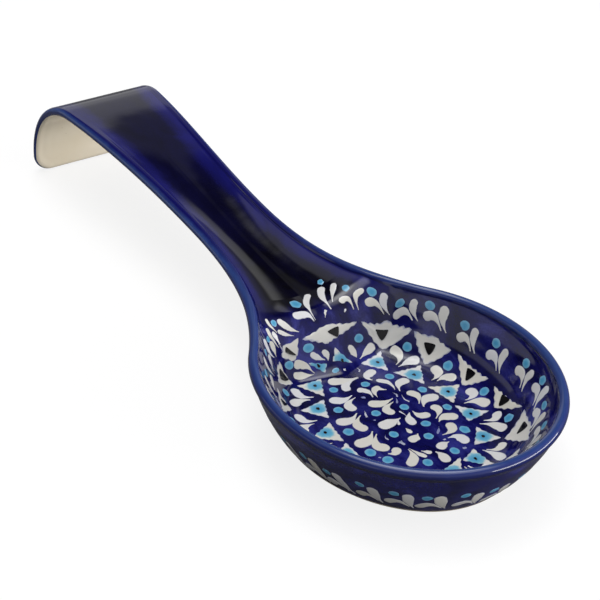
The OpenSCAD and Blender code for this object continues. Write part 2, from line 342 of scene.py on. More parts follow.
class Bowl:
    """Height of the inner surface at any place in plan, and walks along it."""

    # Centre of the walks, and how many angles and radii they are read at
    CENTRE = (-6 * MM, 0.0)
    ROUND = 361
    OUT = 181
    # How many heights each column keeps, from its edge to the midline
    ACROSS = 241
    # How many places in plan are worked out at once
    CHUNK = 20000
    # Walks stay this far inside the rim's outline, and end at this x in the throat
    RIM_CLEAR = 3 * MM
    THROAT_END = -86 * MM
    # Radii tried in the search for the rim
    RIM_RADII = np.linspace(0.03, 0.09, 241)
    # How often a walk is drawn again as it closes in, and its step of angle
    WALK_TURNS = 5
    ANGLE_STEP = 1e-3

    def __init__(self, form):
        self.form = form
        dish_e, dish_k = form.dish_columns()
        strap_e, strap_k = form.handle_columns()
        half = len(dish_e) // 2 + 1
        part = (strap_e[:, 0] > -form.p.neck_x) & (strap_e[:, 1] < 0)
        e = np.vstack([dish_e[:half][::-1], strap_e[part][1:] * [1, -1]])
        k = np.vstack([dish_k[:half][::-1], strap_k[part][1:]])
        rows = smoothed(form.sections(e, k)[:, :RIM_ROW + 1], ROW_STEPS)
        share = np.linspace(0, 1, self.ACROSS)
        runs = length_of(e - k)
        self.heights = np.stack([
            np.interp(share * runs[j], rows[j, ::-1, 0], rows[j, ::-1, 1])
            for j in range(len(e))])
        self.e, self.k = e, k
        angles = np.linspace(-math.pi, math.pi, self.ROUND)
        reach = np.linspace(0, 1, self.OUT)
        self.angles = angles
        self.radius = np.empty((self.ROUND, self.OUT))
        for i, a in enumerate(angles):
            self.radius[i] = reach * self.rim_radius(a)
        x = self.CENTRE[0] + self.radius * np.cos(angles)[:, None]
        y = self.CENTRE[1] + self.radius * np.sin(angles)[:, None]
        z = self.height(x.ravel(), y.ravel()).reshape(x.shape)
        self.arc = run_along(np.stack([self.radius, z], -1))

    def rim_radius(self, a):
        """How far the walk may go from the centre, up to the top of the rim."""
        reach = self.form.p.dish_reach
        x = self.CENTRE[0] + self.RIM_RADII * math.cos(a)
        y = self.CENTRE[1] + self.RIM_RADII * math.sin(a)
        inside = np.abs(y) < self.form.half_w(np.minimum(x, reach)) - self.RIM_CLEAR
        inside &= (x < reach - self.RIM_CLEAR) & (x > self.THROAT_END)
        return float(self.RIM_RADII[-1 if inside.all() else np.argmin(inside)])

    def height(self, x, y):
        """Height over the table at places in plan."""
        z = np.empty(len(x))
        for at in range(0, len(x), self.CHUNK):
            part = slice(at, at + self.CHUNK)
            z[part] = self.some_heights(x[part], y[part])
        return z

    def some_heights(self, x, y):
        e, k = self.e, self.k
        y = np.abs(y)
        way = (e - k) / length_of(e - k)[:, None]
        off = (way[None, :, 0] * (y[:, None] - k[None, :, 1])
               - way[None, :, 1] * (x[:, None] - k[None, :, 0]))
        past = off <= 0
        j = np.where(past.any(1), past.argmax(1), len(e) - 1)
        j = np.clip(j, 1, len(e) - 1)
        i = np.arange(len(x))
        before, after = off[i, j - 1], off[i, j]
        f = np.clip(before / (before - after + TINY), 0, 1)[:, None]
        ee, kk = mix(e[j - 1], e[j], f), mix(k[j - 1], k[j], f)
        place = np.stack([x, y], -1)
        share = np.clip(length_of(place - ee) / length_of(ee - kk), 0, 1)
        at = share * (self.ACROSS - 1)
        lo = np.clip(at.astype(int), 0, self.ACROSS - 2)
        g = at - lo
        h = mix(mix(self.heights[j - 1, lo], self.heights[j - 1, lo + 1], g),
                mix(self.heights[j, lo], self.heights[j, lo + 1], g), f[:, 0])
        s = mix(ee[:, 0], kk[:, 0], share)
        return self.form.place(s, y, h)[:, 2]

    def on_surface(self, plan, lift):
        """Points over places in plan, lifted off the surface along its normal."""
        step = 0.05 * MM
        x, y = plan[:, 0], plan[:, 1]
        z = self.height(x, y)
        dzdx = (self.height(x + step, y) - self.height(x - step, y)) / (2 * step)
        dzdy = (self.height(x, y + step) - self.height(x, y - step)) / (2 * step)
        normal = np.stack([-dzdx, -dzdy, np.ones(len(x))], -1)
        normal /= length_of(normal)[:, None]
        return np.stack([x, y, z], -1) + normal * lift[:, None]

    def walk(self, start, local, oval):
        """Places in plan at local steps from a start: x along the ring, y outwards.

        oval is the ring's centre, half length and half width, in metres.
        """
        cx, cy = self.CENTRE
        a0 = math.atan2(start[1] - cy, start[0] - cx)
        centre, half_l, half_w = oval

        def ring(a):
            c, s = np.cos(a), np.sin(a)
            q = cx - centre
            aa = (c / half_l) ** 2 + (s / half_w) ** 2
            bb = q * c / half_l ** 2
            cc = (q / half_l) ** 2 - 1
            return (-bb + np.sqrt(bb * bb - aa * cc)) / aa

        scale = math.hypot(start[0] - cx, start[1] - cy) / ring(a0)
        a = np.full(len(local), a0)
        step = self.ANGLE_STEP
        for _ in range(self.WALK_TURNS):
            base = ring(a) * scale
            r = self.climb(a, base, local[:, 1])
            slant = (ring(a + step) - ring(a - step)) / (2 * step) * scale
            a = a0 - local[:, 0] / np.hypot(0.5 * (base + r), slant)
        r = self.climb(a, ring(a) * scale, local[:, 1])
        return np.stack([cx + r * np.cos(a), cy + r * np.sin(a)], -1)

    def climb(self, a, base, v):
        """Radius reached from a base radius by going v along the surface outwards."""
        at = (a + math.pi) % (2 * math.pi) / (2 * math.pi) * (self.ROUND - 1)
        lo = np.minimum(at.astype(int), self.ROUND - 2)
        f = (at - lo)[:, None]
        radius = mix(self.radius[lo], self.radius[lo + 1], f)
        arc = mix(self.arc[lo], self.arc[lo + 1], f)
        return read_off(read_off(base, radius, arc) + v, arc, radius)


def read_off(x, xs, ys):
    """Linear interpolation of x in a row of its own."""
    i = np.arange(len(x))
    j = np.clip((xs < x[:, None]).sum(1), 1, xs.shape[1] - 1)
    t = (x - xs[i, j - 1]) / (xs[i, j] - xs[i, j - 1])
    return mix(ys[i, j - 1], ys[i, j], np.clip(t, 0, 1))


class Shell:
    """The outside wall under the band: columns round it, and a way down it."""

    def __init__(self, skins):
        g = skins.grids["dish"]
        rows = slice(BAND_ROW * ROW_STEPS, FOOT_ROW * ROW_STEPS + 1)
        self.points = g["outer"][:, rows]
        self.down = g["arc"][:, rows] - g["arc"][:, rows][:, :1]
        band = self.points[:, 0]
        self.round = np.concatenate([[0], np.cumsum(length_of(np.diff(band, axis=0)))])

    def at(self, u, v):
        """A point u along the band from the throat and v down from it, with its normal."""
        j = int(np.clip(np.searchsorted(self.round, u) - 1, 0, len(self.round) - 2))
        f = (u - self.round[j]) / (self.round[j + 1] - self.round[j])
        down = mix(self.down[j], self.down[j + 1], f)
        line = mix(self.points[j], self.points[j + 1], f)
        i = int(np.clip(np.searchsorted(down, v) - 1, 0, len(down) - 2))
        g = (v - down[i]) / (down[i + 1] - down[i])
        point = mix(line[i], line[i + 1], g)
        along = self.points[j + 1, i] - self.points[j, i]
        below = line[i + 1] - line[i]
        normal = np.cross(below, along)
        normal /= np.linalg.norm(normal)
        if normal[:2] @ point[:2] < 0:
            normal = -normal
        return point, normal


# Meshes

# How meshes are cleaned: points as near as this in metres are one, and edges that
# turn by more than this in degrees are sharp
GRID_WELD, GRID_SHARP = 2e-7, 50
MARK_WELD, MARK_SHARP = 2e-8, 60


def new_object(name, points, faces, material, slot):
    """A mesh object in the frame of the model, riding on its body."""
    mesh = bpy.data.meshes.new(name)
    mesh.from_pydata([tuple(v) for v in points], [], faces)
    mesh.validate()
    mesh.materials.append(material)
    mesh.polygons.foreach_set("use_smooth", [True] * len(mesh.polygons))
    mesh.update()
    piece = bpy.data.objects.new(name, mesh)
    bpy.context.scene.collection.objects.link(piece)
    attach(piece, "root")
    return piece


def grid_faces(n, m, first=0):
    """Quads of a grid of n columns and m rows whose points start at first."""
    at = first + np.arange(n * m).reshape(n, m)
    quads = np.stack([at[:-1, :-1], at[:-1, 1:], at[1:, 1:], at[1:, :-1]], -1)
    return quads.reshape(-1, 4)


def strip_faces(one, other):
    """Quads between two lines of points."""
    return np.stack([one[:-1], one[1:], other[1:], other[:-1]], -1)


def cleaned(piece, weld, sharp_angle, turn_out):
    """Welds what coincides and marks the sharp edges.

    turn_out also takes slivers out and turns every face outwards.
    """
    mesh = piece.data
    bm = bmesh.new()
    bm.from_mesh(mesh)
    bmesh.ops.remove_doubles(bm, verts=bm.verts, dist=weld)
    if turn_out:
        bmesh.ops.dissolve_degenerate(bm, edges=bm.edges, dist=weld)
        bmesh.ops.recalc_face_normals(bm, faces=bm.faces)
    bm.to_mesh(mesh)
    bm.free()
    mesh.set_sharp_from_angle(angle=math.radians(sharp_angle))
    return piece


def coat_piece(name, outer, clay, across, material, slot, midline=None):
    """A closed coat between two grids; midline is the row where its halves meet."""
    n, m = outer.shape[:2]
    points = np.concatenate([outer.reshape(-1, 3), clay.reshape(-1, 3)])
    top = np.arange(n * m).reshape(n, m)
    low = top + n * m
    faces = [grid_faces(n, m), grid_faces(n, m, n * m)]
    for row in (0, -1):
        if row != midline:
            faces.append(strip_faces(top[:, row], low[:, row]))
    for column in (0, -1):
        faces.append(strip_faces(top[column], low[column]))
    piece = new_object(name, points, np.vstack(faces).tolist(), material, slot)
    layer = piece.data.attributes.new("across", "FLOAT", "POINT")
    layer.data.foreach_set("value", np.tile(across.ravel() / MM, 2))
    return cleaned(piece, GRID_WELD, GRID_SHARP, turn_out=True)


def clay_piece(name, grid, material, slot):
    """A closed clay body from its whole grid, capped where the two parts join."""
    n, m = grid.shape[:2]
    at = np.arange(n * m).reshape(n, m)
    faces = grid_faces(n, m).tolist()
    faces.append(at[0, ::-1].tolist() + at[-1, 1:-1].tolist())
    piece = new_object(name, grid.reshape(-1, 3), faces, material, slot)
    return cleaned(piece, GRID_WELD, GRID_SHARP, turn_out=True)


# Stamps

# Points along a drop, round half its head and round a dot
DROP_POINTS, HEAD_POINTS, DOT_POINTS = 13, 9, 22
# A drop's tail as a share of its head's width, and where along it it is full
TAIL_SHARE, FULL_AT = 0.1, 0.76
# How much a drop and a dot vary in width, from and to
DROP_SWELL = (0.92, 1.08)
DOT_SWELL = (0.93, 1.07)
# Unevenness of an edge: slow waves round it and fine raggedness
DROP_UNEVEN = (0.1 * MM, 0.035 * MM)
DOT_UNEVEN = (0.09 * MM, 0.03 * MM)
# Ragged sides: the run over which teeth are counted, the fewest steps in a side, how
# deep a tooth is as a share of the deepest, and how far a step strays along the side
TEETH_RUN = 28 * MM
FEWEST_STEPS = 4
TOOTH_SHARES = (0.2, 1.0)
STEP_STRAY = 0.12 * MM
# Shares of a side that are cut off at a wedge's corners, one round after another
WEDGE_CUTS = (0.14, 0.25, 0.25)


class Stamps:
    """Outlines of the sponge stamps, each with the points that it closes on inside."""

    def __init__(self, seed):
        self.draw = np.random.default_rng(seed)

    def rough(self, outline, core, waves, jag):
        """Uneven edges: slow waves round the outline and fine raggedness, in metres."""
        n = len(outline)
        t = np.arange(n) / n * 2 * math.pi
        push = sum(self.draw.normal(0, waves / 2) * np.sin(k * t + self.draw.uniform(0, 6.3))
                   for k in (2, 3, 5))
        push = push + self.draw.normal(0, jag, n)
        out = outline - core
        out = out / (length_of(out)[:, None] + TINY)
        return outline + out * push[:, None]

    def drop(self, start, bend, end, half_w):
        """A drop from its thin tail to its round head, along a bent line."""
        t = np.linspace(0, 1, DROP_POINTS)[:, None]
        line = ((1 - t) ** 2 * np.array(start) + 2 * t * (1 - t) * np.array(bend)
                + t * t * np.array(end)) * MM
        way = np.gradient(line, axis=0)
        way /= length_of(way)[:, None]
        side = np.stack([-way[:, 1], way[:, 0]], -1)
        swell = self.draw.uniform(*DROP_SWELL)
        w = half_w * MM * swell * mix(TAIL_SHARE, 1, ease(t / FULL_AT))
        a = np.linspace(0, math.pi, HEAD_POINTS)[1:-1, None]
        head = line[-1] + w[-1] * (np.cos(a) * side[-1] + np.sin(a) * way[-1])
        outline = np.vstack([line + side * w, head, (line - side * w)[::-1]])
        core = np.vstack([line, np.repeat(line[-1:], len(a), 0), line[::-1]])
        return self.rough(outline, core, *DROP_UNEVEN), core

    def dot(self, half_x, half_y):
        """An oval dot."""
        a = np.linspace(0, 2 * math.pi, DOT_POINTS, endpoint=False)
        swell = self.draw.uniform(*DOT_SWELL)
        outline = np.stack([half_x * swell * np.cos(a), half_y * swell * np.sin(a)], -1) * MM
        core = np.zeros_like(outline)
        return self.rough(outline, core, *DOT_UNEVEN), core

    def corners(self, points, teeth, depth):
        """A shape with ragged sides between its corner points, given in metres.

        teeth is how many a side of TEETH_RUN has, and depth is how deep they are in mm.
        """
        points = np.array(points, float)
        middle = points.mean(0)
        outline = []
        for a, b in zip(points, np.roll(points, -1, 0)):
            long = np.linalg.norm(b - a)
            count = max(FEWEST_STEPS, 2 * round(teeth * long / TEETH_RUN))
            t = np.arange(count) / count
            way = (b - a) / long
            side = np.array([way[1], -way[0]])
            if side @ (0.5 * (a + b) - middle) < 0:
                side = -side
            tooth = np.where(np.arange(count) % 2 == 0, -1.0, 1.0)
            tooth = tooth * self.draw.uniform(*TOOTH_SHARES, count) * depth * MM
            tooth[0] = 0
            line = mix(a[None], b[None], t[:, None]) + side * tooth[:, None]
            line[1:] += way * self.draw.normal(0, STEP_STRAY, (count - 1, 1))
            outline.append(line)
        outline = np.vstack(outline)
        return outline, np.repeat(middle[None], len(outline), 0)

    def wedge(self, points):
        """A small triangle with rounded corners, its points given in metres."""
        middle = points.mean(0)
        for cut in WEDGE_CUTS:
            ahead = np.roll(points, -1, 0)
            points = np.stack([mix(points, ahead, cut), mix(points, ahead, 1 - cut)],
                              1).reshape(-1, 2)
        return points, np.repeat(middle[None], len(points), 0)


def turned(points, angle):
    """Points turned anticlockwise about their own origin."""
    c, s = math.cos(angle), math.sin(angle)
    return points @ np.array([[c, s], [-s, c]])


# Rings of a stroke from its edge to its middle: the share of the way out from the
# core and the height over the glaze in mm. Its underside lies in the glaze.
STROKE_RINGS = ((1.0, 0.02), (0.9, 0.05), (0.75, 0.075), (0.58, 0.09), (0.4, 0.09),
                (0.2, 0.09), (0.0, 0.09))
STROKE_UNDERSIDE = -0.14


def facing_out(points, quads):
    """The quads of one closed mark, turned round if they enclose a negative volume."""
    a, b, c, d = np.moveaxis(points[quads] - points[quads[0, 0]], 1, 0)
    volume = (a * (np.cross(b, c) + np.cross(c, d))).sum()
    return quads if volume > 0 else quads[:, [0, 3, 2, 1]]


class Strokes:
    """Brush and stamp marks gathered into one mesh, each a thin closed body."""

    def __init__(self, lay):
        self.lay = lay
        self.plan, self.lift, self.spot, self.rank, self.tone = [], [], [], [], []
        self.quads = []
        self.count = 0

    def add(self, outline, core, put, tone, raised=0.0):
        """Adds a mark. put takes local points to the places that the surface uses.

        tone is 0 to 1, and raised is how much higher than the others it lies, in mm.
        """
        n = len(outline)
        rings = [(share, lift + raised) for share, lift in STROKE_RINGS]
        rings += [(0.0, STROKE_UNDERSIDE), (1.0, STROKE_UNDERSIDE)]
        local = np.vstack([mix(core, outline, share) for share, _ in rings])
        self.plan.append(put(local))
        self.lift.append(np.repeat([lift * MM for _, lift in rings], n))
        self.spot.append(local / MM)
        self.rank.append(np.repeat([share for share, _ in rings], n))
        self.tone.append(np.full(len(local), tone))
        at = self.count + np.arange(n * len(rings)).reshape(len(rings), n)
        loop = np.roll(at, -1, 1)
        quads = []
        for r in range(len(rings)):
            after = (r + 1) % len(rings)
            if rings[r][0] != 0 or rings[after][0] != 0:
                quads.append(np.stack([at[r], loop[r], loop[after], at[after]], -1))
        self.quads.append(np.vstack(quads))
        self.count += len(local)

    def finish(self, name, material, slot):
        """The marks as one object, with their local places kept for the material.

        The weld closes each mark, because its core rings fold shut on themselves.
        """
        plan = np.vstack(self.plan)
        points = self.lay(plan, np.concatenate(self.lift))
        faces = np.vstack([facing_out(points, quads) for quads in self.quads])
        piece = new_object(name, points, faces.tolist(), material, slot)
        attributes = piece.data.attributes
        spot = np.hstack([np.vstack(self.spot), np.concatenate(self.rank)[:, None]])
        attributes.new("spot", "FLOAT_VECTOR", "POINT").data.foreach_set(
            "vector", spot.ravel())
        attributes.new("tone", "FLOAT", "POINT").data.foreach_set(
            "value", np.concatenate(self.tone))
        return cleaned(piece, MARK_WELD, MARK_SHARP, turn_out=False)


# Glazes

def add(tree, kind, settings=None, links=None):
    """Adds a node with its settings, input values, ramp stops and incoming links."""
    new = tree.nodes.new("ShaderNode" + kind)
    for key, value in (settings or {}).items():
        if key == "stops":
            ramp = new.color_ramp
            while len(ramp.elements) < len(value):
                ramp.elements.new(0.5)
            for stop, (at, colour) in zip(ramp.elements, value):
                stop.position = at
                stop.color = colour
        elif isinstance(key, int) or key[0].isupper():
            new.inputs[key].default_value = value
        else:
            setattr(new, key, value)
    for key, source in (links or {}).items():
        tree.links.new(source, new.inputs[key])
    return new


def grey(value):
    return (value, value, value, 1.0)


def grains(across):
    """Scale of a pattern with grains of so many millimetres across."""
    return 1 / (across * MM)


def fresh(name):
    """An empty node material with its output."""
    material = bpy.data.materials.new(name)
    material.use_nodes = True
    material.node_tree.nodes.clear()
    return material, material.node_tree, add(material.node_tree, "OutputMaterial")


def glazed(name, colour):
    """A glaze under gloss: colour(tree, place) gives the colour socket.

    The fired glass layer is smooth, with slow ripples 14 mm across and fine
    orange peel of 1.6 mm, so that reflections bend a little as they run over it.
    """
    material, tree, output = fresh(name)
    place = add(tree, "TexCoord").outputs["Object"]
    slow = add(tree, "TexNoise", {"Scale": grains(14.3), "Detail": 1.0}, {"Vector": place})
    fine = add(tree, "TexNoise", {"Scale": grains(1.61), "Detail": 2.0}, {"Vector": place})
    bump_slow = add(tree, "Bump", {"Strength": 0.35, "Distance": 0.25 * MM},
                    {"Height": slow.outputs[0]})
    bump_fine = add(tree, "Bump", {"Strength": 0.12, "Distance": 0.03 * MM},
                    {"Height": fine.outputs[0], "Normal": bump_slow.outputs[0]})
    gloss = add(tree, "MapRange", {"To Min": 0.04, "To Max": 0.1},
                {"Value": slow.outputs[0]})
    shader = add(tree, "BsdfPrincipled", {"IOR": 1.5},
                 {"Base Color": colour(tree, place), "Roughness": gloss.outputs[0],
                  "Normal": bump_fine.outputs[0]})
    tree.links.new(shader.outputs[0], output.inputs[0])
    return material


def cobalt_colour(glazes):
    """Brushed cobalt: thick where it pooled, thin along the strokes of the brush.

    It lies near black on the handle, blackest towards the throat, and there it runs out
    into the dish's bluer ground. Away from the throat towards the crest it is painted
    lighter and more violet: painted sheen that tints the reflections there. Over the
    handle's last 9 mm to the crease at the edge it ran thin and shows indigo. The brush
    left streaks 12 mm wide that are drawn out along the handle, with grain of 0.7 mm in
    them.
    """
    def colour(tree, place):
        stretch = add(tree, "Mapping", {"Scale": (0.45, 1.0, 1.0), "Rotation": (0, 0, 0.3)},
                      {"Vector": place})
        wash = add(tree, "TexNoise", {"Scale": grains(11.8), "Detail": 5.0,
                                      "Roughness": 0.6, "Distortion": 0.6},
                   {"Vector": stretch.outputs[0]})
        grain = add(tree, "TexNoise", {"Scale": grains(0.71), "Detail": 2.0},
                    {"Vector": place})
        both = add(tree, "MapRange", {"From Min": 0.3, "From Max": 0.75, "To Min": -0.1,
                                      "To Max": 0.9}, {"Value": wash.outputs[0]})
        rough = add(tree, "Math", {"operation": "MULTIPLY_ADD", 1: 0.22},
                    {0: grain.outputs[0], 2: both.outputs[0]})
        dish = add(tree, "ValToRGB", {"stops": [
            (0.1, glazes["ground_deep"]), (0.5, glazes["ground"]),
            (0.95, glazes["ground_thin"])]}, {0: rough.outputs[0]})
        across = add(tree, "Attribute", {"attribute_name": "across"}).outputs["Fac"]
        along = add(tree, "SeparateXYZ", {}, {0: place}).outputs[0]
        # Painted sheen: the cobalt is lighter and more violet from x = -100 mm out towards the
        # crest, and blackest towards the throat
        crest_sheen_tint = add(tree, "MapRange", {"From Min": -170 * MM, "From Max": -100 * MM,
                                         "To Min": 0.28, "To Max": 0.03}, {"Value": along})
        near = add(tree, "MapRange", {"From Min": -9.0, "From Max": -1.5, "To Max": 0.62,
                                      "interpolation_type": "SMOOTHSTEP"},
                   {"Value": across, "To Min": crest_sheen_tint.outputs[0]})
        even = add(tree, "Math", {"operation": "MULTIPLY_ADD", 1: 0.3},
                   {0: rough.outputs[0], 2: near.outputs[0]})
        strap = add(tree, "ValToRGB", {"stops": [
            (0.1, glazes["cobalt_deep"]), (0.5, glazes["cobalt"]),
            (1.0, glazes["cobalt_thin"])]}, {0: even.outputs[0]})
        uneven = add(tree, "Math", {"operation": "MULTIPLY_ADD", 1: 8 * MM},
                     {0: wash.outputs[0], 2: along})
        into = add(tree, "MapRange", {"From Min": -66 * MM, "From Max": -50 * MM,
                                      "interpolation_type": "SMOOTHSTEP"},
                   {"Value": uneven.outputs[0]})
        whole = add(tree, "Mix", {"data_type": "RGBA"},
                    {0: into.outputs[0], 6: strap.outputs[0], 7: dish.outputs[0]})
        return whole.outputs[2]
    return colour


def band_colour(glazes):
    """Blue edge glaze: it runs thin and pale over the rim and pools dark beside it. Its pale
    colour on top of the rim is also painted sheen of the overhead light.

    On the handle the cobalt of the top face runs on over the edge, so that the pale
    part shows on its outer side only. At the handle's lower edge, which faces down
    into shade, it turns pale again: painted light over glaze that runs thin there. The
    borders sway in waves of 8 mm.
    """
    def colour(tree, place):
        across = add(tree, "Attribute", {"attribute_name": "across"}).outputs["Fac"]
        uneven = add(tree, "TexNoise", {"Scale": grains(7.7), "Detail": 3.0},
                     {"Vector": place})
        sway = add(tree, "Math", {"operation": "MULTIPLY_ADD", 1: 1.4},
                   {0: uneven.outputs[0], 2: across})
        reach = add(tree, "MapRange", {"From Min": 0.7, "From Max": 10.2},
                    {"Value": sway.outputs[0]})
        # Round the dish: pale over the top of the rim, painted sheen of the overhead light, and
        # darker down the outer side
        ramp = add(tree, "ValToRGB", {"stops": [
            (0.0, glazes["edge_dark"]), (0.06, glazes["edge_dark"]),
            (0.13, glazes["edge"]), (0.36, glazes["edge_pale"]),
            (0.56, glazes["edge"]), (0.78, glazes["edge_dark"]),
            (1.0, glazes["cobalt"])]}, {0: reach.outputs[0]})
        # On the handle: pale at the lower edge, painted light against the shade of the edge that
        # faces down
        strap = add(tree, "ValToRGB", {"stops": [
            (0.0, glazes["ground"]), (0.25, glazes["ground"]),
            (0.34, glazes["edge"]), (0.43, glazes["edge_pale"]),
            (0.52, glazes["edge_pale"]), (0.6, glazes["edge"]),
            (0.72, glazes["edge"]), (0.85, glazes["edge_pale"])]}, {0: reach.outputs[0]})
        along = add(tree, "SeparateXYZ", {}, {0: place}).outputs[0]
        into = add(tree, "MapRange", {"From Min": -130 * MM, "From Max": -55 * MM,
                                      "interpolation_type": "SMOOTHSTEP"}, {"Value": along})
        whole = add(tree, "Mix", {"data_type": "RGBA"},
                    {0: into.outputs[0], 6: strap.outputs[0], 7: ramp.outputs[0]})
        return whole.outputs[2]
    return colour


def turquoise_over(tree, glazes, part, cloud, white):
    """A turquoise wash round the middle of a mark, over the colour of its white slip."""
    flat = add(tree, "CombineXYZ", {2: 0.0}, {0: part.outputs[0], 1: part.outputs[1]})
    away = add(tree, "VectorMath", {"operation": "LENGTH"}, {0: flat.outputs[0]})
    ragged = add(tree, "Math", {"operation": "MULTIPLY_ADD", 1: 2.6},
                 {0: cloud.outputs[0], 2: away.outputs["Value"]})
    wash = add(tree, "MapRange", {"From Min": 5.3, "From Max": 3.9,
                                  "interpolation_type": "SMOOTHSTEP"},
               {"Value": ragged.outputs[0]})
    depth = add(tree, "MapRange", {"From Min": 1.4, "From Max": 4.6},
                {"Value": ragged.outputs[0]})
    blue = add(tree, "ValToRGB", {"stops": [
        (0.0, glazes["turquoise_deep"]), (0.5, glazes["turquoise"]),
        (1.0, glazes["turquoise_pale"])]}, {0: depth.outputs[0]})
    return add(tree, "Mix", {"data_type": "RGBA"},
               {0: wash.outputs[0], 6: white.outputs[2], 7: blue.outputs[0]})


# Colour in the middle of each kind of slip, from and to, and what carries it across:
# the mark's own tone, or the way from its middle to its edge
SLIP_BODIES = {
    "stamped": ("slip", "slip_warm", "tone"),
    "washed": ("slip", "slip_warm", "tone"),
    "wisp": ("slip_thin", "slip", "tone"),
    "dot": ("turquoise_deep", "dot_pale", "outwards"),
    "mark": ("mark", "ground_deep", "edge"),
}


def slip_colour(glazes, kind):
    """Slip in a mark: full in the middle and thin at the ragged edge.

    Its cover is broken by clouds of 2.4 mm, which leave the edge ragged.
    """
    def colour(tree, place):
        spot = add(tree, "Attribute", {"attribute_name": "spot"})
        tone = add(tree, "Attribute", {"attribute_name": "tone"}).outputs["Fac"]
        part = add(tree, "SeparateXYZ", {}, {0: spot.outputs["Vector"]})
        cloud = add(tree, "TexNoise", {"Scale": grains(2.38), "Detail": 3.0,
                                       "Roughness": 0.6}, {"Vector": place})
        rank = add(tree, "Math", {"operation": "MULTIPLY_ADD", 1: 0.35},
                   {0: cloud.outputs[0], 2: part.outputs[2]})
        outwards = add(tree, "MapRange", {"From Min": 0.5, "From Max": 1.1},
                       {"Value": rank.outputs[0]})
        edge = add(tree, "MapRange", {"From Min": 1.04, "From Max": 1.28,
                                      "interpolation_type": "SMOOTHSTEP"},
                   {"Value": rank.outputs[0]})
        shares = {"tone": tone, "outwards": outwards.outputs[0], "edge": edge.outputs[0]}
        first, second, share = SLIP_BODIES[kind]
        body = add(tree, "Mix", {"data_type": "RGBA", 6: glazes[first],
                                 7: glazes[second]}, {0: shares[share]})
        if kind == "washed":
            body = turquoise_over(tree, glazes, part, cloud, body)
        if kind == "mark":
            return body.outputs[2]
        thin = add(tree, "Mix", {"data_type": "RGBA", 7: glazes["slip_thin"]},
                   {0: edge.outputs[0], 6: body.outputs[2]})
        return thin.outputs[2]
    return colour


# Names of the slips: all lie smooth and glossy under the one clear glaze
SLIPS = {
    # milky white that covers the blue, and lets it through at the edge
    "stamped": "White slip, stamped with a cut sponge under clear glaze",
    # the same white, stained blue round the middle
    "washed": "White slip with a turquoise wash, under clear glaze",
    # watery blue, paler towards the edge
    "dot": "Turquoise slip, dabbed under clear glaze",
    # dense black that softens into the cobalt
    "mark": "Iron black slip, dabbed under clear glaze",
    # half covering, so that the strokes look bluish and faint
    "wisp": "White slip, dragged thin over cobalt under clear glaze",
}


def slip_material(glazes, kind):
    """One of the slips, made once."""
    name = SLIPS[kind]
    return bpy.data.materials.get(name) or glazed(name, slip_colour(glazes, kind))


def cream_colour(glazes):
    """Cream body seen through clear glaze, warm, with fine iron specks.

    The warmth changes in clouds of 22 mm, and the specks lie 4 mm apart.
    """
    def colour(tree, place):
        cloud = add(tree, "TexNoise", {"Scale": grains(22.2), "Detail": 3.0},
                    {"Vector": place})
        warmth = add(tree, "ValToRGB", {"stops": [(0.3, glazes["cream"]),
                                                  (0.75, glazes["cream_warm"])]},
                     {0: cloud.outputs[0]})
        specks = add(tree, "TexVoronoi", {"Scale": grains(3.85), "Randomness": 1.0},
                     {"Vector": place})
        speck = add(tree, "MapRange", {"From Min": 0.03, "From Max": 0.07, "To Min": 0.4,
                                       "To Max": 0.0}, {"Value": specks.outputs["Distance"]})
        brown = add(tree, "Mix", {"data_type": "RGBA", 7: glazes["iron"]},
                    {0: speck.outputs[0], 6: warmth.outputs[0]})
        return brown.outputs[2]
    return colour


def bare_clay(glazes):
    """Fired stoneware without glaze: dry and matt, with grit of 0.6 mm.

    Its colour drifts a little, in flushes 17 mm across.
    """
    material, tree, output = fresh("Stoneware, fired bare")
    place = add(tree, "TexCoord").outputs["Object"]
    grit = add(tree, "TexNoise", {"Scale": grains(0.625), "Detail": 4.0, "Roughness": 0.7},
               {"Vector": place})
    cloud = add(tree, "TexNoise", {"Scale": grains(16.7), "Detail": 3.0}, {"Vector": place})
    flush = add(tree, "MapRange", {"From Min": 0.35, "From Max": 0.7},
                {"Value": cloud.outputs[0]})
    body = add(tree, "Mix", {"data_type": "RGBA", 6: glazes["clay"],
                             7: glazes["clay_dark"]}, {0: flush.outputs[0]})
    pits = add(tree, "ValToRGB", {"stops": [(0.3, grey(0.45)), (0.6, grey(1.0))]},
               {0: grit.outputs[0]})
    sand = add(tree, "Mix", {"data_type": "RGBA", "blend_type": "MULTIPLY", 0: 0.35},
               {6: body.outputs[2], 7: pits.outputs[0]})
    bump = add(tree, "Bump", {"Strength": 0.5, "Distance": 0.12 * MM},
               {"Height": grit.outputs[0]})
    shader = add(tree, "BsdfPrincipled", {"Roughness": 0.82, "IOR": 1.45},
                 {"Base Color": sand.outputs[2], "Normal": bump.outputs[0]})
    tree.links.new(shader.outputs[0], output.inputs[0])
    return material


# Settings

def size(name, description, default):
    return bpy.props.FloatProperty(name=name, description=description,
                                   default=default * MM, min=0.1 * MM, precision=5,
                                   unit="LENGTH", subtype="DISTANCE")


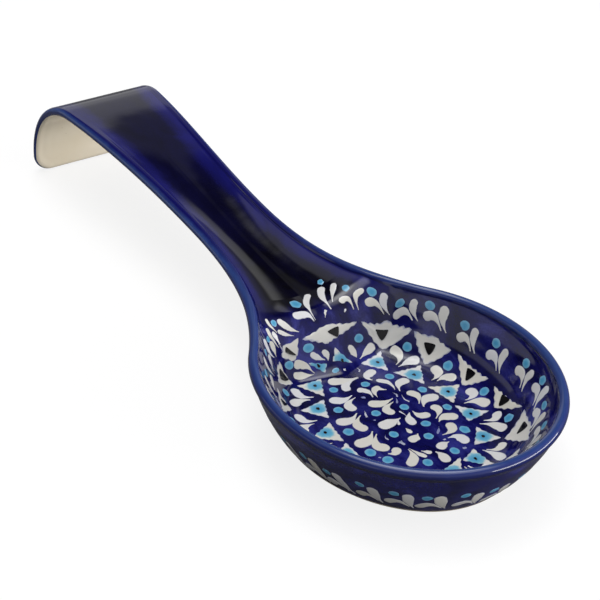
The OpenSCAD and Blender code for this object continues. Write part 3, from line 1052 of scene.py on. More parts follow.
class SpoonRestSizes(bpy.types.PropertyGroup):
    """Sizes of the spoon rest.

    The dish's width, the crest's height and the handle's reach are a hair under the CAD
    model's, so that the rounder meshes here stay inside its box.
    """

    dish_reach: size("Dish reach", "Half the length of the dish's oval", 64)
    dish_w: size("Dish width", "Width of the dish over its rim", 107.74)
    rim_h: size("Rim height", "Height of the dish's rim over the table", 30.5)
    rim_t: size("Rim thickness", "Thickness of the wall at the rim", 4)
    floor_t: size("Floor thickness", "Thickness of the dish's floor", 5)
    foot_inset: size("Foot inset", "How far the foot lies inside the rim", 14.5)
    floor_inset: size("Floor inset", "How far the floor's edge lies inside the rim", 27)
    handle_reach: size("Handle reach", "Length from the dish's middle to the lip's face", 269.95)
    throat_x: size("Throat", "Where the handle joins the dish", 72)
    neck_x: size("Neck", "Where the flare becomes the strap", 126)
    neck_w: size("Neck width", "Width of the strap at the neck", 35.5)
    crest_h: size("Crest height", "Height of the handle's crest", 43.95)
    bend_r: size("Bend radius", "Radius of the bend down to the lip", 37)
    lip_w: size("Lip width", "Width of the lip at its end", 54)
    corner_r: size("Corner radius", "Radius of the lip's corners", 8)
    trough_d: size("Trough depth", "Depth of the trough where the handle begins", 7)
    coat_t: size("Coat thickness", "Thickness of a glaze", 0.5)
    band_h: size("Band height", "Height of the rim band on the outside", 4.6)
    bare_h: size("Bare height", "Height of the unglazed foot", 1.6)


def tint(name, description, default):
    return bpy.props.FloatVectorProperty(name=name, description=description, size=4,
                                         min=0.0, max=1.0, subtype="COLOR",
                                         default=linear(default))


class SpoonRestColours(bpy.types.PropertyGroup):
    """Colours of the clay, the glazes and the slips."""

    cobalt_deep: tint("Handle deep", "Cobalt glaze where it lies thick", "#010008")
    cobalt: tint("Handle", "Cobalt glaze of the handle", "#080730")
    cobalt_thin: tint("Handle thin", "Cobalt glaze where the brush left it thin", "#1c1c76")
    ground_deep: tint("Ground deep", "Cobalt ground of the dish, thick", "#020234")
    ground: tint("Ground", "Cobalt ground of the dish", "#0f0f58")
    ground_thin: tint("Ground thin", "Cobalt ground of the dish, thin", "#35388e")
    edge_dark: tint("Edge dark", "Edge glaze where it pooled", "#090b42")
    edge: tint("Edge", "Edge glaze", "#1e2b6a")
    # Pale edge glaze; it also carries painted sheen on top of the rim and painted light at the
    # handle's lower edge
    edge_pale: tint("Edge pale", "Edge glaze where it ran thin over the rim", "#324882")
    slip: tint("Slip", "Stamped white slip", "#e0e0e3")
    slip_warm: tint("Slip warm", "Stamped white slip, warmer", "#dddad0")
    slip_thin: tint("Slip thin", "Slip at the ragged edge of a mark", "#7f88b8")
    turquoise: tint("Turquoise", "Turquoise wash", "#5fa8cc")
    turquoise_deep: tint("Turquoise deep", "Turquoise wash, thick", "#4a9ac4")
    turquoise_pale: tint("Turquoise pale", "Turquoise wash, thin", "#86bfd2")
    dot_pale: tint("Dot pale", "Pale edge of a turquoise dot", "#70b2d2")
    mark: tint("Black mark", "Iron black of the small marks", "#08070c")
    cream: tint("Cream", "Body seen through clear glaze", "#f5ebd8")
    cream_warm: tint("Cream warm", "Body seen through clear glaze, warmer", "#ecdfc6")
    iron: tint("Iron specks", "Specks in the cream glaze", "#6d4a30")
    clay: tint("Clay", "Bare stoneware", "#d9cdb8")
    clay_dark: tint("Clay dark", "Bare stoneware, darker", "#c3b49b")


def palette():
    """The colours as plain values for the materials."""
    group = bpy.context.scene.spoon_rest_colours
    return {name: tuple(getattr(group, name)) for name in SpoonRestColours.__annotations__}


MADE = {}


def made(kind, build):
    """A shared part of the work, kept for as long as the sizes stay the same."""
    group = bpy.context.scene.spoon_rest_sizes
    sizes = tuple(getattr(group, name) for name in SpoonRestSizes.__annotations__)
    if (kind, sizes) not in MADE:
        MADE[kind, sizes] = build()
    return MADE[kind, sizes]


def form():
    return made("form", lambda: Form(bpy.context.scene.spoon_rest_sizes))


def skins():
    return made("skins", lambda: Skins(form()))


def bowl():
    return made("bowl", lambda: Bowl(form()))


def shell():
    return made("shell", lambda: Shell(skins()))


def rows_of(part, first, last, columns=slice(None)):
    """The coated surface, the clay under it and the run across from the crease."""
    g = skins().grids[part]
    rows = slice(first * ROW_STEPS, last * ROW_STEPS + 1)
    crease = CREASE_ROW * ROW_STEPS
    across = g["arc"][columns, rows] - g["arc"][columns, crease:crease + 1]
    return g["outer"][columns, rows], g["clay"][columns, rows], across


# Pieces

class SPOONREST_OT_clay(bpy.types.Operator):
    """Builds the dish and the handle in bare stoneware"""

    bl_idname = "spoonrest.clay"
    bl_label = "Clay dish and handle"

    def execute(self, context):
        clay = bare_clay(palette())
        for part in ("dish", "handle"):
            body = clay_piece("clay_" + part, skins().grids[part]["clay"], clay, "clay")
            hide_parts(part)
        return {"FINISHED"}


class SPOONREST_OT_dish_glazes(bpy.types.Operator):
    """Lays the cobalt ground inside and outside the dish"""

    bl_idname = "spoonrest.dish_glazes"
    bl_label = "Cobalt ground of the dish"

    def execute(self, context):
        colours = palette()
        ground = glazed("Cobalt slip, brushed on under clear glaze", cobalt_colour(colours))
        inside = coat_piece("dish_ground_inside", *rows_of("dish", 0, CREASE_ROW), ground,
                            "painted_glaze", midline=0)
        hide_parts("dish_lining")
        outside = coat_piece("dish_ground_outside", *rows_of("dish", BAND_ROW, FOOT_ROW),
                             ground, "painted_glaze")
        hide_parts("outside_coat")
        return {"FINISHED"}


class SPOONREST_OT_handle_glazes(bpy.types.Operator):
    """Lays the cobalt glaze on the handle and the clear glaze under it"""

    bl_idname = "spoonrest.handle_glazes"
    bl_label = "Glazes of the handle"

    def execute(self, context):
        colours = palette()
        cobalt = glazed("Cobalt glaze, brushed thick", cobalt_colour(colours))
        cream = glazed("Clear glaze over cream stoneware", cream_colour(colours))
        top = coat_piece("handle_glaze", *rows_of("handle", 0, CREASE_ROW), cobalt,
                         "cobalt_glaze", midline=0)
        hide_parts("handle_coat")
        under = coat_piece("handle_underside", *rows_of("handle", BAND_ROW, LAST_ROW), cream,
                           "cream_glaze", midline=-1)
        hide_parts("underside_coat")
        return {"FINISHED"}


class SPOONREST_OT_rim(bpy.types.Operator):
    """Runs the blue edge glaze round the dish and both sides of the handle"""

    bl_idname = "spoonrest.rim"
    bl_label = "Blue rim glaze"

    def execute(self, context):
        side = Skins.SIDE
        n = len(skins().grids["handle"]["arc"])
        runs = [rows_of("handle", CREASE_ROW, BAND_ROW, slice(n - 1 - side, n)),
                rows_of("dish", CREASE_ROW, BAND_ROW, slice(1, -1)),
                rows_of("handle", CREASE_ROW, BAND_ROW, slice(0, side + 1))]
        whole = [np.concatenate(parts) for parts in zip(*runs)]
        rim = coat_piece("rim_glaze", *whole, glazed("Blue edge glaze, run thin over the rim",
                                                     band_colour(palette())),
                         "blue_band_glaze")
        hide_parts("rim_band")
        return {"FINISHED"}


# Layout of the marks
# Places in plan are in mm, x and y of the model.

# Seeds of the random draws
INSIDE_SEED, RINGS_SEED, OUTSIDE_SEED = 11, 23, 37
# How a stamp varies: its size, its turn in degrees either way, and how far the heads of
# its drops and its dot stray, in mm
STAMP_SIZES = (0.94, 1.05)
STAMP_TURN = 5
HEAD_STRAY = 0.25
DOT_STRAY = 0.3
# Tails of the stamps on the wall under the rim, clockwise seen from above. The rest
# follow as angles, in degrees, about the centre of the oval on which all the tails lie:
# its centre's x, half length and half width.
WALL_TAILS = ((-49.5, 26.5), (-39.8, 33.1), (-28.8, 38.7), (-14.5, 42.0), (0.4, 42.6),
              (15.8, 41.0), (28.0, 36.8), (35.4, 29.8))
WALL_ANGLES = (25, 14, 2, -10, -22, -35, -49, -65, -82, -99, -118)
WALL_OVAL = (-4, 54.2, 43.3)
# One stamp on the wall: tail, bend, head and half the head's width of its two drops,
# and the place of its dot, in mm along the wall and outwards
WALL_STAMP = (((-1.2, 0.2), (-4.6, 6.2), (-7.7, 3.9), 1.9),
              ((1.1, 0.2), (-2.4, 4.1), (-1.1, 8.0), 1.75))
WALL_DOT = (-6.6, 8.5)
# One stamp on the outside wall, its tails at the foot
OUTSIDE_STAMP = (((-1.2, 1.4), (-6.6, 8.4), (-9.6, 3.6), 2.3),
                 ((0.8, 0.2), (-2.2, 5.0), (-3.2, 11.8), 2.35))
OUTSIDE_DOT = (-8.4, 12.6)
# How far the tails lie down the wall from the band, from stamp to stamp round it, and
# the share of a step at which the first stands
OUTSIDE_TAILS = 24.5
OUTSIDE_STEP = 13.6
OUTSIDE_START = 0.05
# Half the width along x and along y of the dot of every stamp
STAMP_DOT = (2.0, 1.8)
# Between two triangles: a stamp with its tails inwards, starting this far outwards.
# They fill the gaps after these washed triangles; DROPS has the other gaps' strokes.
GAP_STAMP = (((-0.7, 0.2), (-1.6, 6.6), (-5.0, 5.6), 1.9),
             ((0.7, -0.2), (0.9, 6.4), (4.8, 5.9), 1.9))
GAP_DOT = (-0.3, 9.6)
GAP_OUT = 1.0
GAPS = (6, 7, 8, 9, 10)
# Drops drawn one by one: tail, bend, head and half the head's width
DROPS = (
    # long strokes on the wall beside the handle's left edge
    (-55.8, -10.3, -57.4, -14.8, -59.3, -16.6, 1.45),
    (-55.3, -12.9, -56.0, -16.8, -56.5, -18.5, 1.0),
    (-56.2, -20.0, -57.2, -22.2, -59.2, -22.8, 0.75),
    (-53.6, -20.3, -54.8, -20.8, -55.6, -21.8, 1.1),
    (-52.8, -21.2, -54.0, -23.9, -55.8, -24.4, 1.0),
    (-50.5, -23.8, -51.8, -24.0, -52.5, -24.5, 1.5),
    (-49.8, -25.2, -49.2, -28.2, -50.8, -28.5, 1.4),
    (-44.8, -28.8, -46.5, -28.2, -47.5, -28.5, 1.6),
    (-41.8, -30.0, -40.0, -33.8, -41.5, -34.2, 1.4),
    (-34.2, -34.5, -36.0, -34.2, -37.8, -33.5, 1.6),
    (-31.0, -35.5, -31.0, -38.5, -32.5, -39.0, 1.4),
    # between the triangles
    (-34.2, 20.5, -36.4, 26.2, -41.0, 24.3, 1.8), (-32.5, 20.5, -33.7, 26.0, -31.9, 27.6, 2.0),
    (-18.4, 26.0, -18.9, 31.6, -22.9, 30.9, 1.9), (-16.8, 27.4, -18.2, 31.6, -15.1, 33.0, 2.1),
    (-1.0, 29.1, -0.2, 34.3, -3.9, 33.6, 1.9), (0.4, 27.4, 1.0, 33.2, 5.2, 33.3, 2.1),
    (13.0, 26.9, 16.4, 30.4, 14.0, 32.2, 1.9), (13.7, 24.5, 17.0, 29.0, 21.6, 28.7, 1.8),
    (27.6, 16.9, 31.0, 20.2, 29.4, 22.6, 1.8), (27.0, 15.6, 31.6, 18.4, 35.2, 17.4, 1.9),
    (-19.8, -25.0, -20.6, -30.2, -24.6, -29.9, 2.0), (-18.5, -27.0, -19.4, -32.2, -16.8, -32.6, 1.9),
    (-33.0, -18.1, -34.6, -23.0, -39.4, -22.3, 1.9), (-32.1, -20.2, -34.6, -24.2, -32.5, -26.6, 2.1),
    (-44.6, -10.2, -48.6, -12.0, -48.8, -15.4, 1.5), (-44.2, -10.8, -45.2, -14.4, -46.2, -17.2, 1.4),
    (-43.9, 10.2, -46.0, 14.6, -46.8, 17.6, 1.5), (-44.6, 9.2, -45.4, 9.2, -47.6, 8.5, 1.5),
    (-46.0, -3.2, -47.2, -2.4, -48.3, -3.2, 1.2), (-46.6, -4.2, -47.6, -6.2, -49.2, -8.0, 1.2),
    # on the slope to the handle
    (-55.7, 17.2, -60.4, 17.0, -59.4, 20.4, 1.5), (-56.4, 15.4, -61.0, 15.4, -60.3, 12.4, 1.5),
    (-61.1, 8.4, -66.0, 11.4, -68.6, 13.8, 1.2), (-58.9, 6.4, -65.0, 5.2, -70.2, 9.0, 1.4),
    (-57.1, -1.9, -64.6, -3.2, -70.0, 2.6, 1.2), (-56.9, -2.7, -60.8, -3.2, -60.6, -8.2, 1.9),
    (-56.8, 11.2, -57.0, 11.6, -57.2, 11.9, 0.5), (-56.9, 2.4, -58.0, 3.0, -59.0, 3.9, 0.5),
    # on the floor, outer ring
    (-18.9, 11.6, -24.3, 13.4, -23.6, 17.1, 2.0), (-20.6, 10.5, -26.0, 12.6, -28.8, 9.1, 1.25),
    (-8.4, 13.0, -12.6, 17.0, -15.7, 14.4, 1.85), (-5.9, 13.4, -10.6, 15.9, -9.1, 19.7, 2.3),
    (2.6, 12.8, -1.0, 18.2, -3.4, 16.6, 1.75), (4.8, 12.5, 2.2, 15.4, 4.7, 18.7, 2.35),
    (12.0, 8.8, 12.6, 14.4, 9.0, 14.8, 1.9), (14.4, 9.4, 14.6, 13.8, 18.6, 13.7, 2.05),
    (16.6, 8.4, 16.4, 6.0, 17.3, 4.4, 2.0), (18.8, 0.7, 21.0, 2.0, 24.2, 1.2, 2.0),
    (12.1, -6.1, 16.1, -5.4, 18.7, -4.1, 0.9), (12.4, -6.7, 17.6, -6.6, 19.5, -10.4, 2.2),
    (15.6, -3.4, 16.6, -2.6, 18.0, -1.2, 0.9), (10.7, -14.3, 12.4, -12.4, 10.7, -10.7, 1.8),
    (-3.3, -11.6, 1.6, -15.6, 0.4, -19.1, 2.5), (-1.1, -11.2, 4.2, -17.0, 6.9, -13.7, 2.15),
    (-15.7, -10.2, -11.9, -14.8, -14.2, -17.8, 2.35), (-13.8, -9.8, -10.8, -15.6, -6.8, -13.4, 2.1),
    (-26.2, -5.4, -24.3, -10.2, -26.8, -12.5, 2.2), (-24.4, -5.0, -23.2, -11.0, -19.3, -10.0, 2.05),
    (-34.9, 3.3, -35.4, -3.4, -37.5, -6.2, 2.2), (-34.7, 3.2, -34.2, -4.6, -31.0, -4.7, 1.75),
    (-30.5, 7.0, -33.6, 4.4, -35.1, 9.7, 2.0), (-20.1, 2.2, -24.6, 2.6, -25.3, 5.4, 1.5),
    (-21.0, 0.7, -25.4, 2.2, -27.3, -0.6, 1.5), (-22.4, 7.9, -23.2, 6.6, -24.3, 6.0, 0.75),
    # on the floor, inside the ring
    (-16.5, 6.6, -14.9, 1.2, -17.3, -1.4, 2.15), (-14.5, 5.5, -13.4, -0.6, -9.9, 0.8, 1.8),
    (-4.6, 1.8, -4.2, -1.8, -4.1, -5.6, 2.4), (-5.9, 8.2, -1.8, 8.0, -1.2, 10.7, 1.9),
    (-5.7, 6.7, -3.4, 4.2, -0.3, 3.9, 1.95), (6.6, 1.6, 8.0, 0.4, 8.5, -1.9, 2.0),
    (1.6, -0.2, 2.8, 0.0, 4.1, -0.1, 1.0), (-4.2, 0.7, -2.8, -0.2, -1.9, -0.8, 0.5),
)
# Fine strokes that the brush left between the stamps, as drops
WISPS = (
    (7.2, 10.7, 8.8, 9.4, 10.3, 8.0, 0.4), (-16.0, 7.8, -14.4, 7.2, -13.2, 6.4, 0.35),
    (-16.5, 10.8, -14.0, 9.6, -11.6, 10.6, 0.3), (-15.6, -6.8, -13.8, -7.9, -11.9, -8.1, 0.35),
    (-23.5, -3.2, -23.2, -2.7, -22.6, -2.2, 0.6), (14.4, 7.2, 14.5, 7.5, 14.7, 8.0, 0.4),
    (21.7, 10.6, 22.3, 10.7, 22.6, 11.0, 0.6), (-8.9, -7.5, -8.7, -7.2, -8.6, -6.8, 0.35),
    (6.8, -5.8, 7.8, -6.6, 8.8, -6.3, 0.6), (7.2, -7.7, 7.4, -7.0, 7.6, -6.4, 0.55),
    (10.6, -18.6, 10.8, -18.3, 11.0, -18.0, 0.35), (-41.6, 2.0, -41.4, 1.6, -41.2, 1.2, 0.5),
    (1.0, -8.9, 2.4, -10.0, 3.8, -9.6, 0.3), (-40.4, 6.4, -39.2, 7.2, -38.0, 6.0, 0.35),
    (-3.8, 4.4, -6.0, 4.6, -8.2, 4.0, 0.3), (-19.6, 8.6, -18.0, 9.6, -16.6, 8.8, 0.3),
)
# Turquoise dots: x, y and half their width along x and along y
ROUND_DOTS = (
    (-58.8, -19.8, 1.4, 1.4), (-53.0, -25.8, 1.3, 1.3), (-47.0, -30.5, 1.5, 1.5),
    (-36.2, -36.8, 1.5, 1.5),
    (-37.9, 28.4, 2.0, 1.8), (-20.3, 35.1, 2.0, 1.9), (0.5, 36.6, 2.1, 2.0), (19.7, 33.0, 2.0, 1.9),
    (-49.9, 13.6, 1.8, 2.1), (-51.3, -8.8, 1.6, 2.2), (-49.3, -18.8, 1.6, 1.9),
    (-38.1, -27.2, 2.0, 1.8), (-22.3, -34.5, 2.1, 1.9), (-63.9, 16.4, 1.8, 1.5),
    (-73.9, 11.1, 1.6, 1.1), (-67.1, -4.8, 2.6, 2.0), (-42.2, -2.2, 1.1, 1.6),
    (-29.0, 13.9, 1.85, 1.8), (-29.6, 3.1, 1.75, 1.75), (-15.2, 19.5, 2.0, 1.7),
    (-1.1, 20.7, 2.0, 1.7), (13.6, 17.7, 2.1, 1.7), (22.0, 6.9, 2.0, 1.7), (22.4, -5.3, 2.1, 1.8),
    (13.6, -16.4, 2.2, 2.1), (6.8, -19.3, 2.2, 2.0), (-7.7, -19.1, 2.1, 2.0),
    (-21.1, -14.8, 1.9, 1.95), (-32.9, -9.2, 1.85, 1.8), (2.3, -6.0, 2.1, 1.75),
    (-11.9, -4.1, 1.95, 1.85), (3.1, 7.8, 1.8, 1.8), (-9.6, 7.1, 2.0, 1.7), (9.9, 4.1, 2.0, 1.9),
)
# Pale triangles: the corners of the black wedge, and the corners of the triangle
PALE = (
    (((-53.0, 0.2), (-54.0, 6.8), (-50.8, 4.5)),
     ((-53.8, -10.0), (-54.8, 3.0), (-53.6, 15.0), (-50.0, -0.5))),
    (((-50.4, 21.0), (-47.0, 26.3), (-46.6, 22.3)),
     ((-53.2, 16.8), (-48.8, 26.2), (-39.7, 31.6), (-44.7, 21.3))),
    (((-34.2, 33.2), (-29.0, 36.1), (-28.9, 32.3)),
     ((-38.8, 32.0), (-30.9, 36.5), (-23.0, 38.4), (-27.8, 29.6))),
    (((-13.4, 39.1), (-8.0, 39.6), (-9.4, 35.2)),
     ((-19.8, 39.3), (-2.0, 40.3), (-9.1, 33.6))),
    (((8.3, 38.9), (14.2, 38.3), (11.5, 34.6)),
     ((2.7, 39.6), (21.6, 37.3), (10.2, 33.9))),
    (((28.0, 33.4), (32.4, 31.6), (30.0, 28.0)),
     ((23.8, 36.6), (33.3, 31.9), (38.8, 26.3), (27.0, 25.5))),
    (((-33.0, -33.0), (-29.5, -33.5), (-31.2, -30.7)),
     ((-37.2, -31.5), (-31.0, -34.3), (-25.8, -35.6), (-29.0, -30.3))),
    (((-48.5, -24.0), (-43.9, -26.1), (-45.5, -21.1)),
     ((-49.8, -22.8), (-48.2, -24.8), (-41.2, -28.5), (-44.0, -20.4))),
    (((-53.4, -17.9), (-52.0, -19.1), (-50.8, -14.0)),
     ((-54.5, -11.5), (-53.4, -19.0), (-51.0, -21.0), (-50.0, -16.0), (-51.3, -13.5))),
)
# Places of the pale triangles that complete the ring, and their one shape: corners
# of the triangle, and of the wedge in its middle, each along the ring and outwards.
# Two of the wedge's corners slip to either side, by up to WEDGE_SLIP of its size.
PALE_PLACES = ((41.5, 15.5), (44.5, -1.5), (38.5, -19.0), (25.5, -31.0), (6.5, -36.8),
               (-13.5, -37.4))
PALE_SHAPE = ((-8.2, 1.2), (0.0, 2.0), (8.2, 1.2), (0.0, -4.6))
WEDGE_SHAPE = ((-1.0, 0.75), (1.0, 0.7), (0.0, -1.15))
WEDGE_SIZE = 3.1
WEDGE_SLIP = 0.25
# How warm the pale triangles' slip is, from and to
PALE_TONES = (0.6, 1)
# Teeth of the triangles' sides and their depth, and half widths of a black dot
PALE_TEETH = (9, 0.4)
WASHED_TEETH = (11, 0.32)
BLACK_DOT = (0.85, 0.62)
# How much higher than the other strokes the wedges and the black dots lie
WEDGE_RAISED = 0.3
BLACK_DOT_RAISED = 0.13
# Washed triangles: the place of the black dot and the three corners
WASHED = (
    ((-44.6, 2.4), (-48.6, 1.6), (-43.3, 6.3), (-45.2, -1.6)),
    ((-39.4, 15.5), (-44.5, 20.3), (-32.6, 15.7), (-41.9, 9.4)),
    ((-24.9, 22.5), (-28.4, 28.2), (-18.0, 22.3), (-30.5, 16.7)),
    ((-8.9, 26.9), (-10.0, 33.0), (-2.0, 24.3), (-15.6, 22.3)),
    ((7.1, 25.4), (9.8, 31.8), (10.2, 22.1), (-0.4, 23.7)),
    ((20.6, 20.8), (25.5, 25.1), (22.9, 15.1), (14.6, 22.3)),
    ((29.7, 10.3), (37.3, 13.5), (28.0, 6.0), (24.6, 13.3)),
    ((31.2, -0.9), (37.5, -1.0), (29.4, -5.6), (26.2, 6.2)),
    ((26.3, -12.6), (31.2, -16.4), (21.4, -15.8), (28.4, -6.6)),
    ((16.2, -21.9), (19.6, -28.0), (9.8, -21.9), (21.6, -18.2)),
    ((2.8, -27.4), (3.6, -33.4), (-2.8, -23.6), (8.4, -23.6)),
    ((-11.8, -26.6), (-11.6, -32.4), (-16.3, -21.8), (-4.0, -23.6)),
    ((-25.8, -20.8), (-28.1, -27.0), (-29.5, -15.8), (-18.7, -20.6)),
    ((-38.9, -13.7), (-42.4, -19.6), (-41.4, -9.4), (-31.2, -14.4)),
    ((-46.0, -7.6), (-48.0, -10.9), (-45.4, -4.2), (-43.1, -6.3)),
)
# The oval that the rings follow: its centre's x, half length and half width
RING_OVAL = (-6, 52, 38.5)


def oval_normal(place, oval):
    """The way outwards across an oval at a place in plan, as a unit vector."""
    centre, half_l, half_w = oval
    out = np.array([(place[0] - centre) / half_l ** 2, place[1] / half_w ** 2])
    return out / np.linalg.norm(out)


class Patch:
    """A flat chart of the surface round a place in plan, true to size, in mm."""

    def __init__(self, middle):
        self.middle = np.array(middle, float)
        x, y = self.middle * MM
        step = 0.5 * MM
        z = bowl().height(np.array([x + step, x - step, x, x]),
                          np.array([y, y, y + step, y - step]))
        slope = np.array([z[0] - z[1], z[2] - z[3]]) / (2 * step)
        steep = np.linalg.norm(slope)
        way = slope / (steep + TINY)
        stretch = math.hypot(1, steep)
        self.to_chart = np.eye(2) + (stretch - 1) * np.outer(way, way)
        self.to_plan = np.eye(2) + (1 / stretch - 1) * np.outer(way, way)

    def chart(self, places):
        """Places in plan as points of the chart, both in mm."""
        return (np.array(places, float) - self.middle) @ self.to_chart

    def put(self, local):
        """Points of the chart as places in plan, both in metres."""
        return self.middle * MM + local @ self.to_plan

    def way(self, plan_way):
        """A way in plan as seen in the chart, as a unit vector."""
        seen = np.array(plan_way) @ self.to_chart
        return seen / np.linalg.norm(seen)


def drawn_drop(stamps, marks, places, half_w):
    """A drop from its tail, bend and head in plan."""
    patch = Patch(np.mean(places, 0))
    outline, core = stamps.drop(*patch.chart(places), half_w)
    marks.add(outline, core, patch.put, stamps.draw.uniform(0, 1))


def drawn_dot(stamps, marks, place, half_x, half_y):
    """A dot with its middle at a place in plan."""
    outline, core = stamps.dot(half_x, half_y)
    marks.add(outline, core, Patch(place).put, stamps.draw.uniform(0, 1))


def stamped(stamps, drops, dots, put, stamp, dot):
    """Two drops and a dot from one stamp, never quite the same twice."""
    grow = stamps.draw.uniform(*STAMP_SIZES)
    turn = math.radians(stamps.draw.uniform(-STAMP_TURN, STAMP_TURN))
    for tail, bend, head, half_w in stamp:
        head = np.add(head, stamps.draw.normal(0, HEAD_STRAY, 2))
        outline, core = stamps.drop(tail, bend, head, half_w)
        drops.add(turned(outline * grow, turn), turned(core * grow, turn), put,
                  stamps.draw.uniform(0, 1))
    outline, core = stamps.dot(*STAMP_DOT)
    shift = np.add(dot, stamps.draw.normal(0, DOT_STRAY, 2)) * MM
    dots.add(turned(outline + shift, turn), turned(core + shift, turn), put,
             stamps.draw.uniform(0, 1))


def inside_marks(stamps, drops, dots, wisps):
    """The stamps on the wall, between the triangles and on the floor."""
    surface = bowl()
    centre, half_l, half_w = WALL_OVAL
    oval = (centre * MM, half_l * MM, half_w * MM)

    def stamp_at(place, stamp, dot):
        start = (place[0] * MM, place[1] * MM)
        stamped(stamps, drops, dots, lambda local: surface.walk(start, local, oval),
                stamp, dot)

    tails = list(WALL_TAILS)
    for angle in WALL_ANGLES:
        c, s = math.cos(math.radians(angle)), math.sin(math.radians(angle))
        reach = 1 / math.hypot(c / half_l, s / half_w)
        tails.append((centre + reach * c, reach * s))
    for tail in tails:
        stamp_at(tail, WALL_STAMP, WALL_DOT)
    for marks, strokes in ((drops, DROPS), (wisps, WISPS)):
        for x0, y0, x1, y1, x2, y2, w in strokes:
            drawn_drop(stamps, marks, ((x0, y0), (x1, y1), (x2, y2)), w)
    for x, y, half_x, half_y in ROUND_DOTS:
        drawn_dot(stamps, dots, (x, y), half_x, half_y)
    for i in GAPS:
        middle = np.add(WASHED[i + 1][0], WASHED[i][0]) / 2
        stamp_at(middle + GAP_OUT * oval_normal(middle, RING_OVAL), GAP_STAMP, GAP_DOT)


def pale_triangle(stamps, pale, corners):
    """A triangle of the outer ring from its corners in plan."""
    patch = Patch(np.mean(corners, 0))
    outline, core = stamps.corners(patch.chart(corners) * MM, *PALE_TEETH)
    pale.add(outline, core, patch.put, stamps.draw.uniform(*PALE_TONES))


def black_wedge(stamps, black, patch, points):
    """The wedge painted in a triangle of the outer ring, from points of its chart."""
    outline, core = stamps.wedge(points * MM)
    black.add(outline, core, patch.put, tone=0.5, raised=WEDGE_RAISED)


def ring_marks(stamps, pale, washed, black):
    """Triangles in two rings that meet point to point, with their black marks."""
    for wedge, corners in PALE:
        pale_triangle(stamps, pale, corners)
        patch = Patch(np.mean(wedge, 0))
        black_wedge(stamps, black, patch, patch.chart(wedge))
    for place in PALE_PLACES:
        out = oval_normal(place, RING_OVAL)
        across = np.array([out[1], -out[0]])
        pale_triangle(stamps, pale, [place + a * across + b * out for a, b in PALE_SHAPE])
        patch = Patch(place)
        out = patch.way(out)
        slip = stamps.draw.uniform(-WEDGE_SLIP, WEDGE_SLIP)
        points = np.add(WEDGE_SHAPE, [(0, 0), (slip, 0), (slip, 0)])
        black_wedge(stamps, black, patch,
                    turned(WEDGE_SIZE * points, math.atan2(-out[0], out[1])))
    for mark, *corners in WASHED:
        patch = Patch(mark)
        outline, core = stamps.corners(patch.chart(corners) * MM, *WASHED_TEETH)
        washed.add(outline, core, patch.put, stamps.draw.uniform(0, 1))
        outline, core = stamps.dot(*BLACK_DOT)
        black.add(outline, core, patch.put, tone=0.5, raised=BLACK_DOT_RAISED)


def outside_marks(stamps, drops, dots):
    """One row of stamps round the outside wall, from the foot up to the rim."""
    wall = shell()
    whole = wall.round[-1]
    count = round(whole / (OUTSIDE_STEP * MM))
    for i in range(count):
        u0 = (i + OUTSIDE_START) / count * whole

        def put(local, u0=u0):
            return np.stack([u0 - local[:, 0], OUTSIDE_TAILS * MM - local[:, 1]], -1)

        stamped(stamps, drops, dots, put, OUTSIDE_STAMP, OUTSIDE_DOT)


def laid_on_wall(plan, lift):
    """Points of the outside wall for its own places, lifted off it."""
    wall = shell()
    out = np.empty((len(plan), 3))
    for i, (u, v) in enumerate(plan):
        point, normal = wall.at(u, v)
        out[i] = point + normal * lift[i]
    return out


class SPOONREST_OT_inside_marks(bpy.types.Operator):
    """Stamps the white drops and turquoise dots inside the dish"""

    bl_idname = "spoonrest.inside_marks"
    bl_label = "Drops and dots inside"

    def execute(self, context):
        colours = palette()
        stamps = Stamps(INSIDE_SEED)
        drops, dots, wisps = (Strokes(bowl().on_surface) for _ in range(3))
        inside_marks(stamps, drops, dots, wisps)
        drops.finish("drops_inside", slip_material(colours, "stamped"), "painted_glaze")
        wisps.finish("wisps_inside", slip_material(colours, "wisp"), "painted_glaze")
        dots.finish("dots_inside", slip_material(colours, "dot"), "painted_glaze")
        return {"FINISHED"}


class SPOONREST_OT_rings(bpy.types.Operator):
    """Stamps the two rings of triangles and paints their black marks"""

    bl_idname = "spoonrest.rings"
    bl_label = "Rings of triangles"

    def execute(self, context):
        colours = palette()
        stamps = Stamps(RINGS_SEED)
        pale, washed, black = (Strokes(bowl().on_surface) for _ in range(3))
        ring_marks(stamps, pale, washed, black)
        pale.finish("pale_triangles", slip_material(colours, "stamped"), "painted_glaze")
        washed.finish("washed_triangles", slip_material(colours, "washed"), "painted_glaze")
        black.finish("black_marks", slip_material(colours, "mark"), "painted_glaze")
        return {"FINISHED"}


class SPOONREST_OT_outside_marks(bpy.types.Operator):
    """Stamps the row of drops and dots round the outside of the dish"""

    bl_idname = "spoonrest.outside_marks"
    bl_label = "Drops and dots outside"

    def execute(self, context):
        colours = palette()
        drops, dots = Strokes(laid_on_wall), Strokes(laid_on_wall)
        outside_marks(Stamps(OUTSIDE_SEED), drops, dots)
        drops.finish("drops_outside", slip_material(colours, "stamped"), "painted_glaze")
        dots.finish("dots_outside", slip_material(colours, "dot"), "painted_glaze")
        return {"FINISHED"}


# Stage

class SPOONREST_OT_stage(bpy.types.Operator):
    """Sets the floor, the soft studio light and the camera"""

    bl_idname = "spoonrest.stage"
    bl_label = "Studio"

    def execute(self, context):
        floor()
        sky()
        soft_box()
        camera()
        return {"FINISHED"}


# The paper floor: half its side in metres, how much light it gives back, and how
# much the camera sees it lifted
PAPER_HALF = 4
PAPER_LIGHT = 0.2
PAPER_LIFT = 0.82
# The soft box: place and target in metres, width and height in metres, power in watts
SOFT_BOX_PLACE = (0.95, 0.95, 0.15)
SOFT_BOX_TARGET = (-0.24, 0, 0.02)
SOFT_BOX_SIZE = (1.8, 0.26)
SOFT_BOX_POWER = 18.0
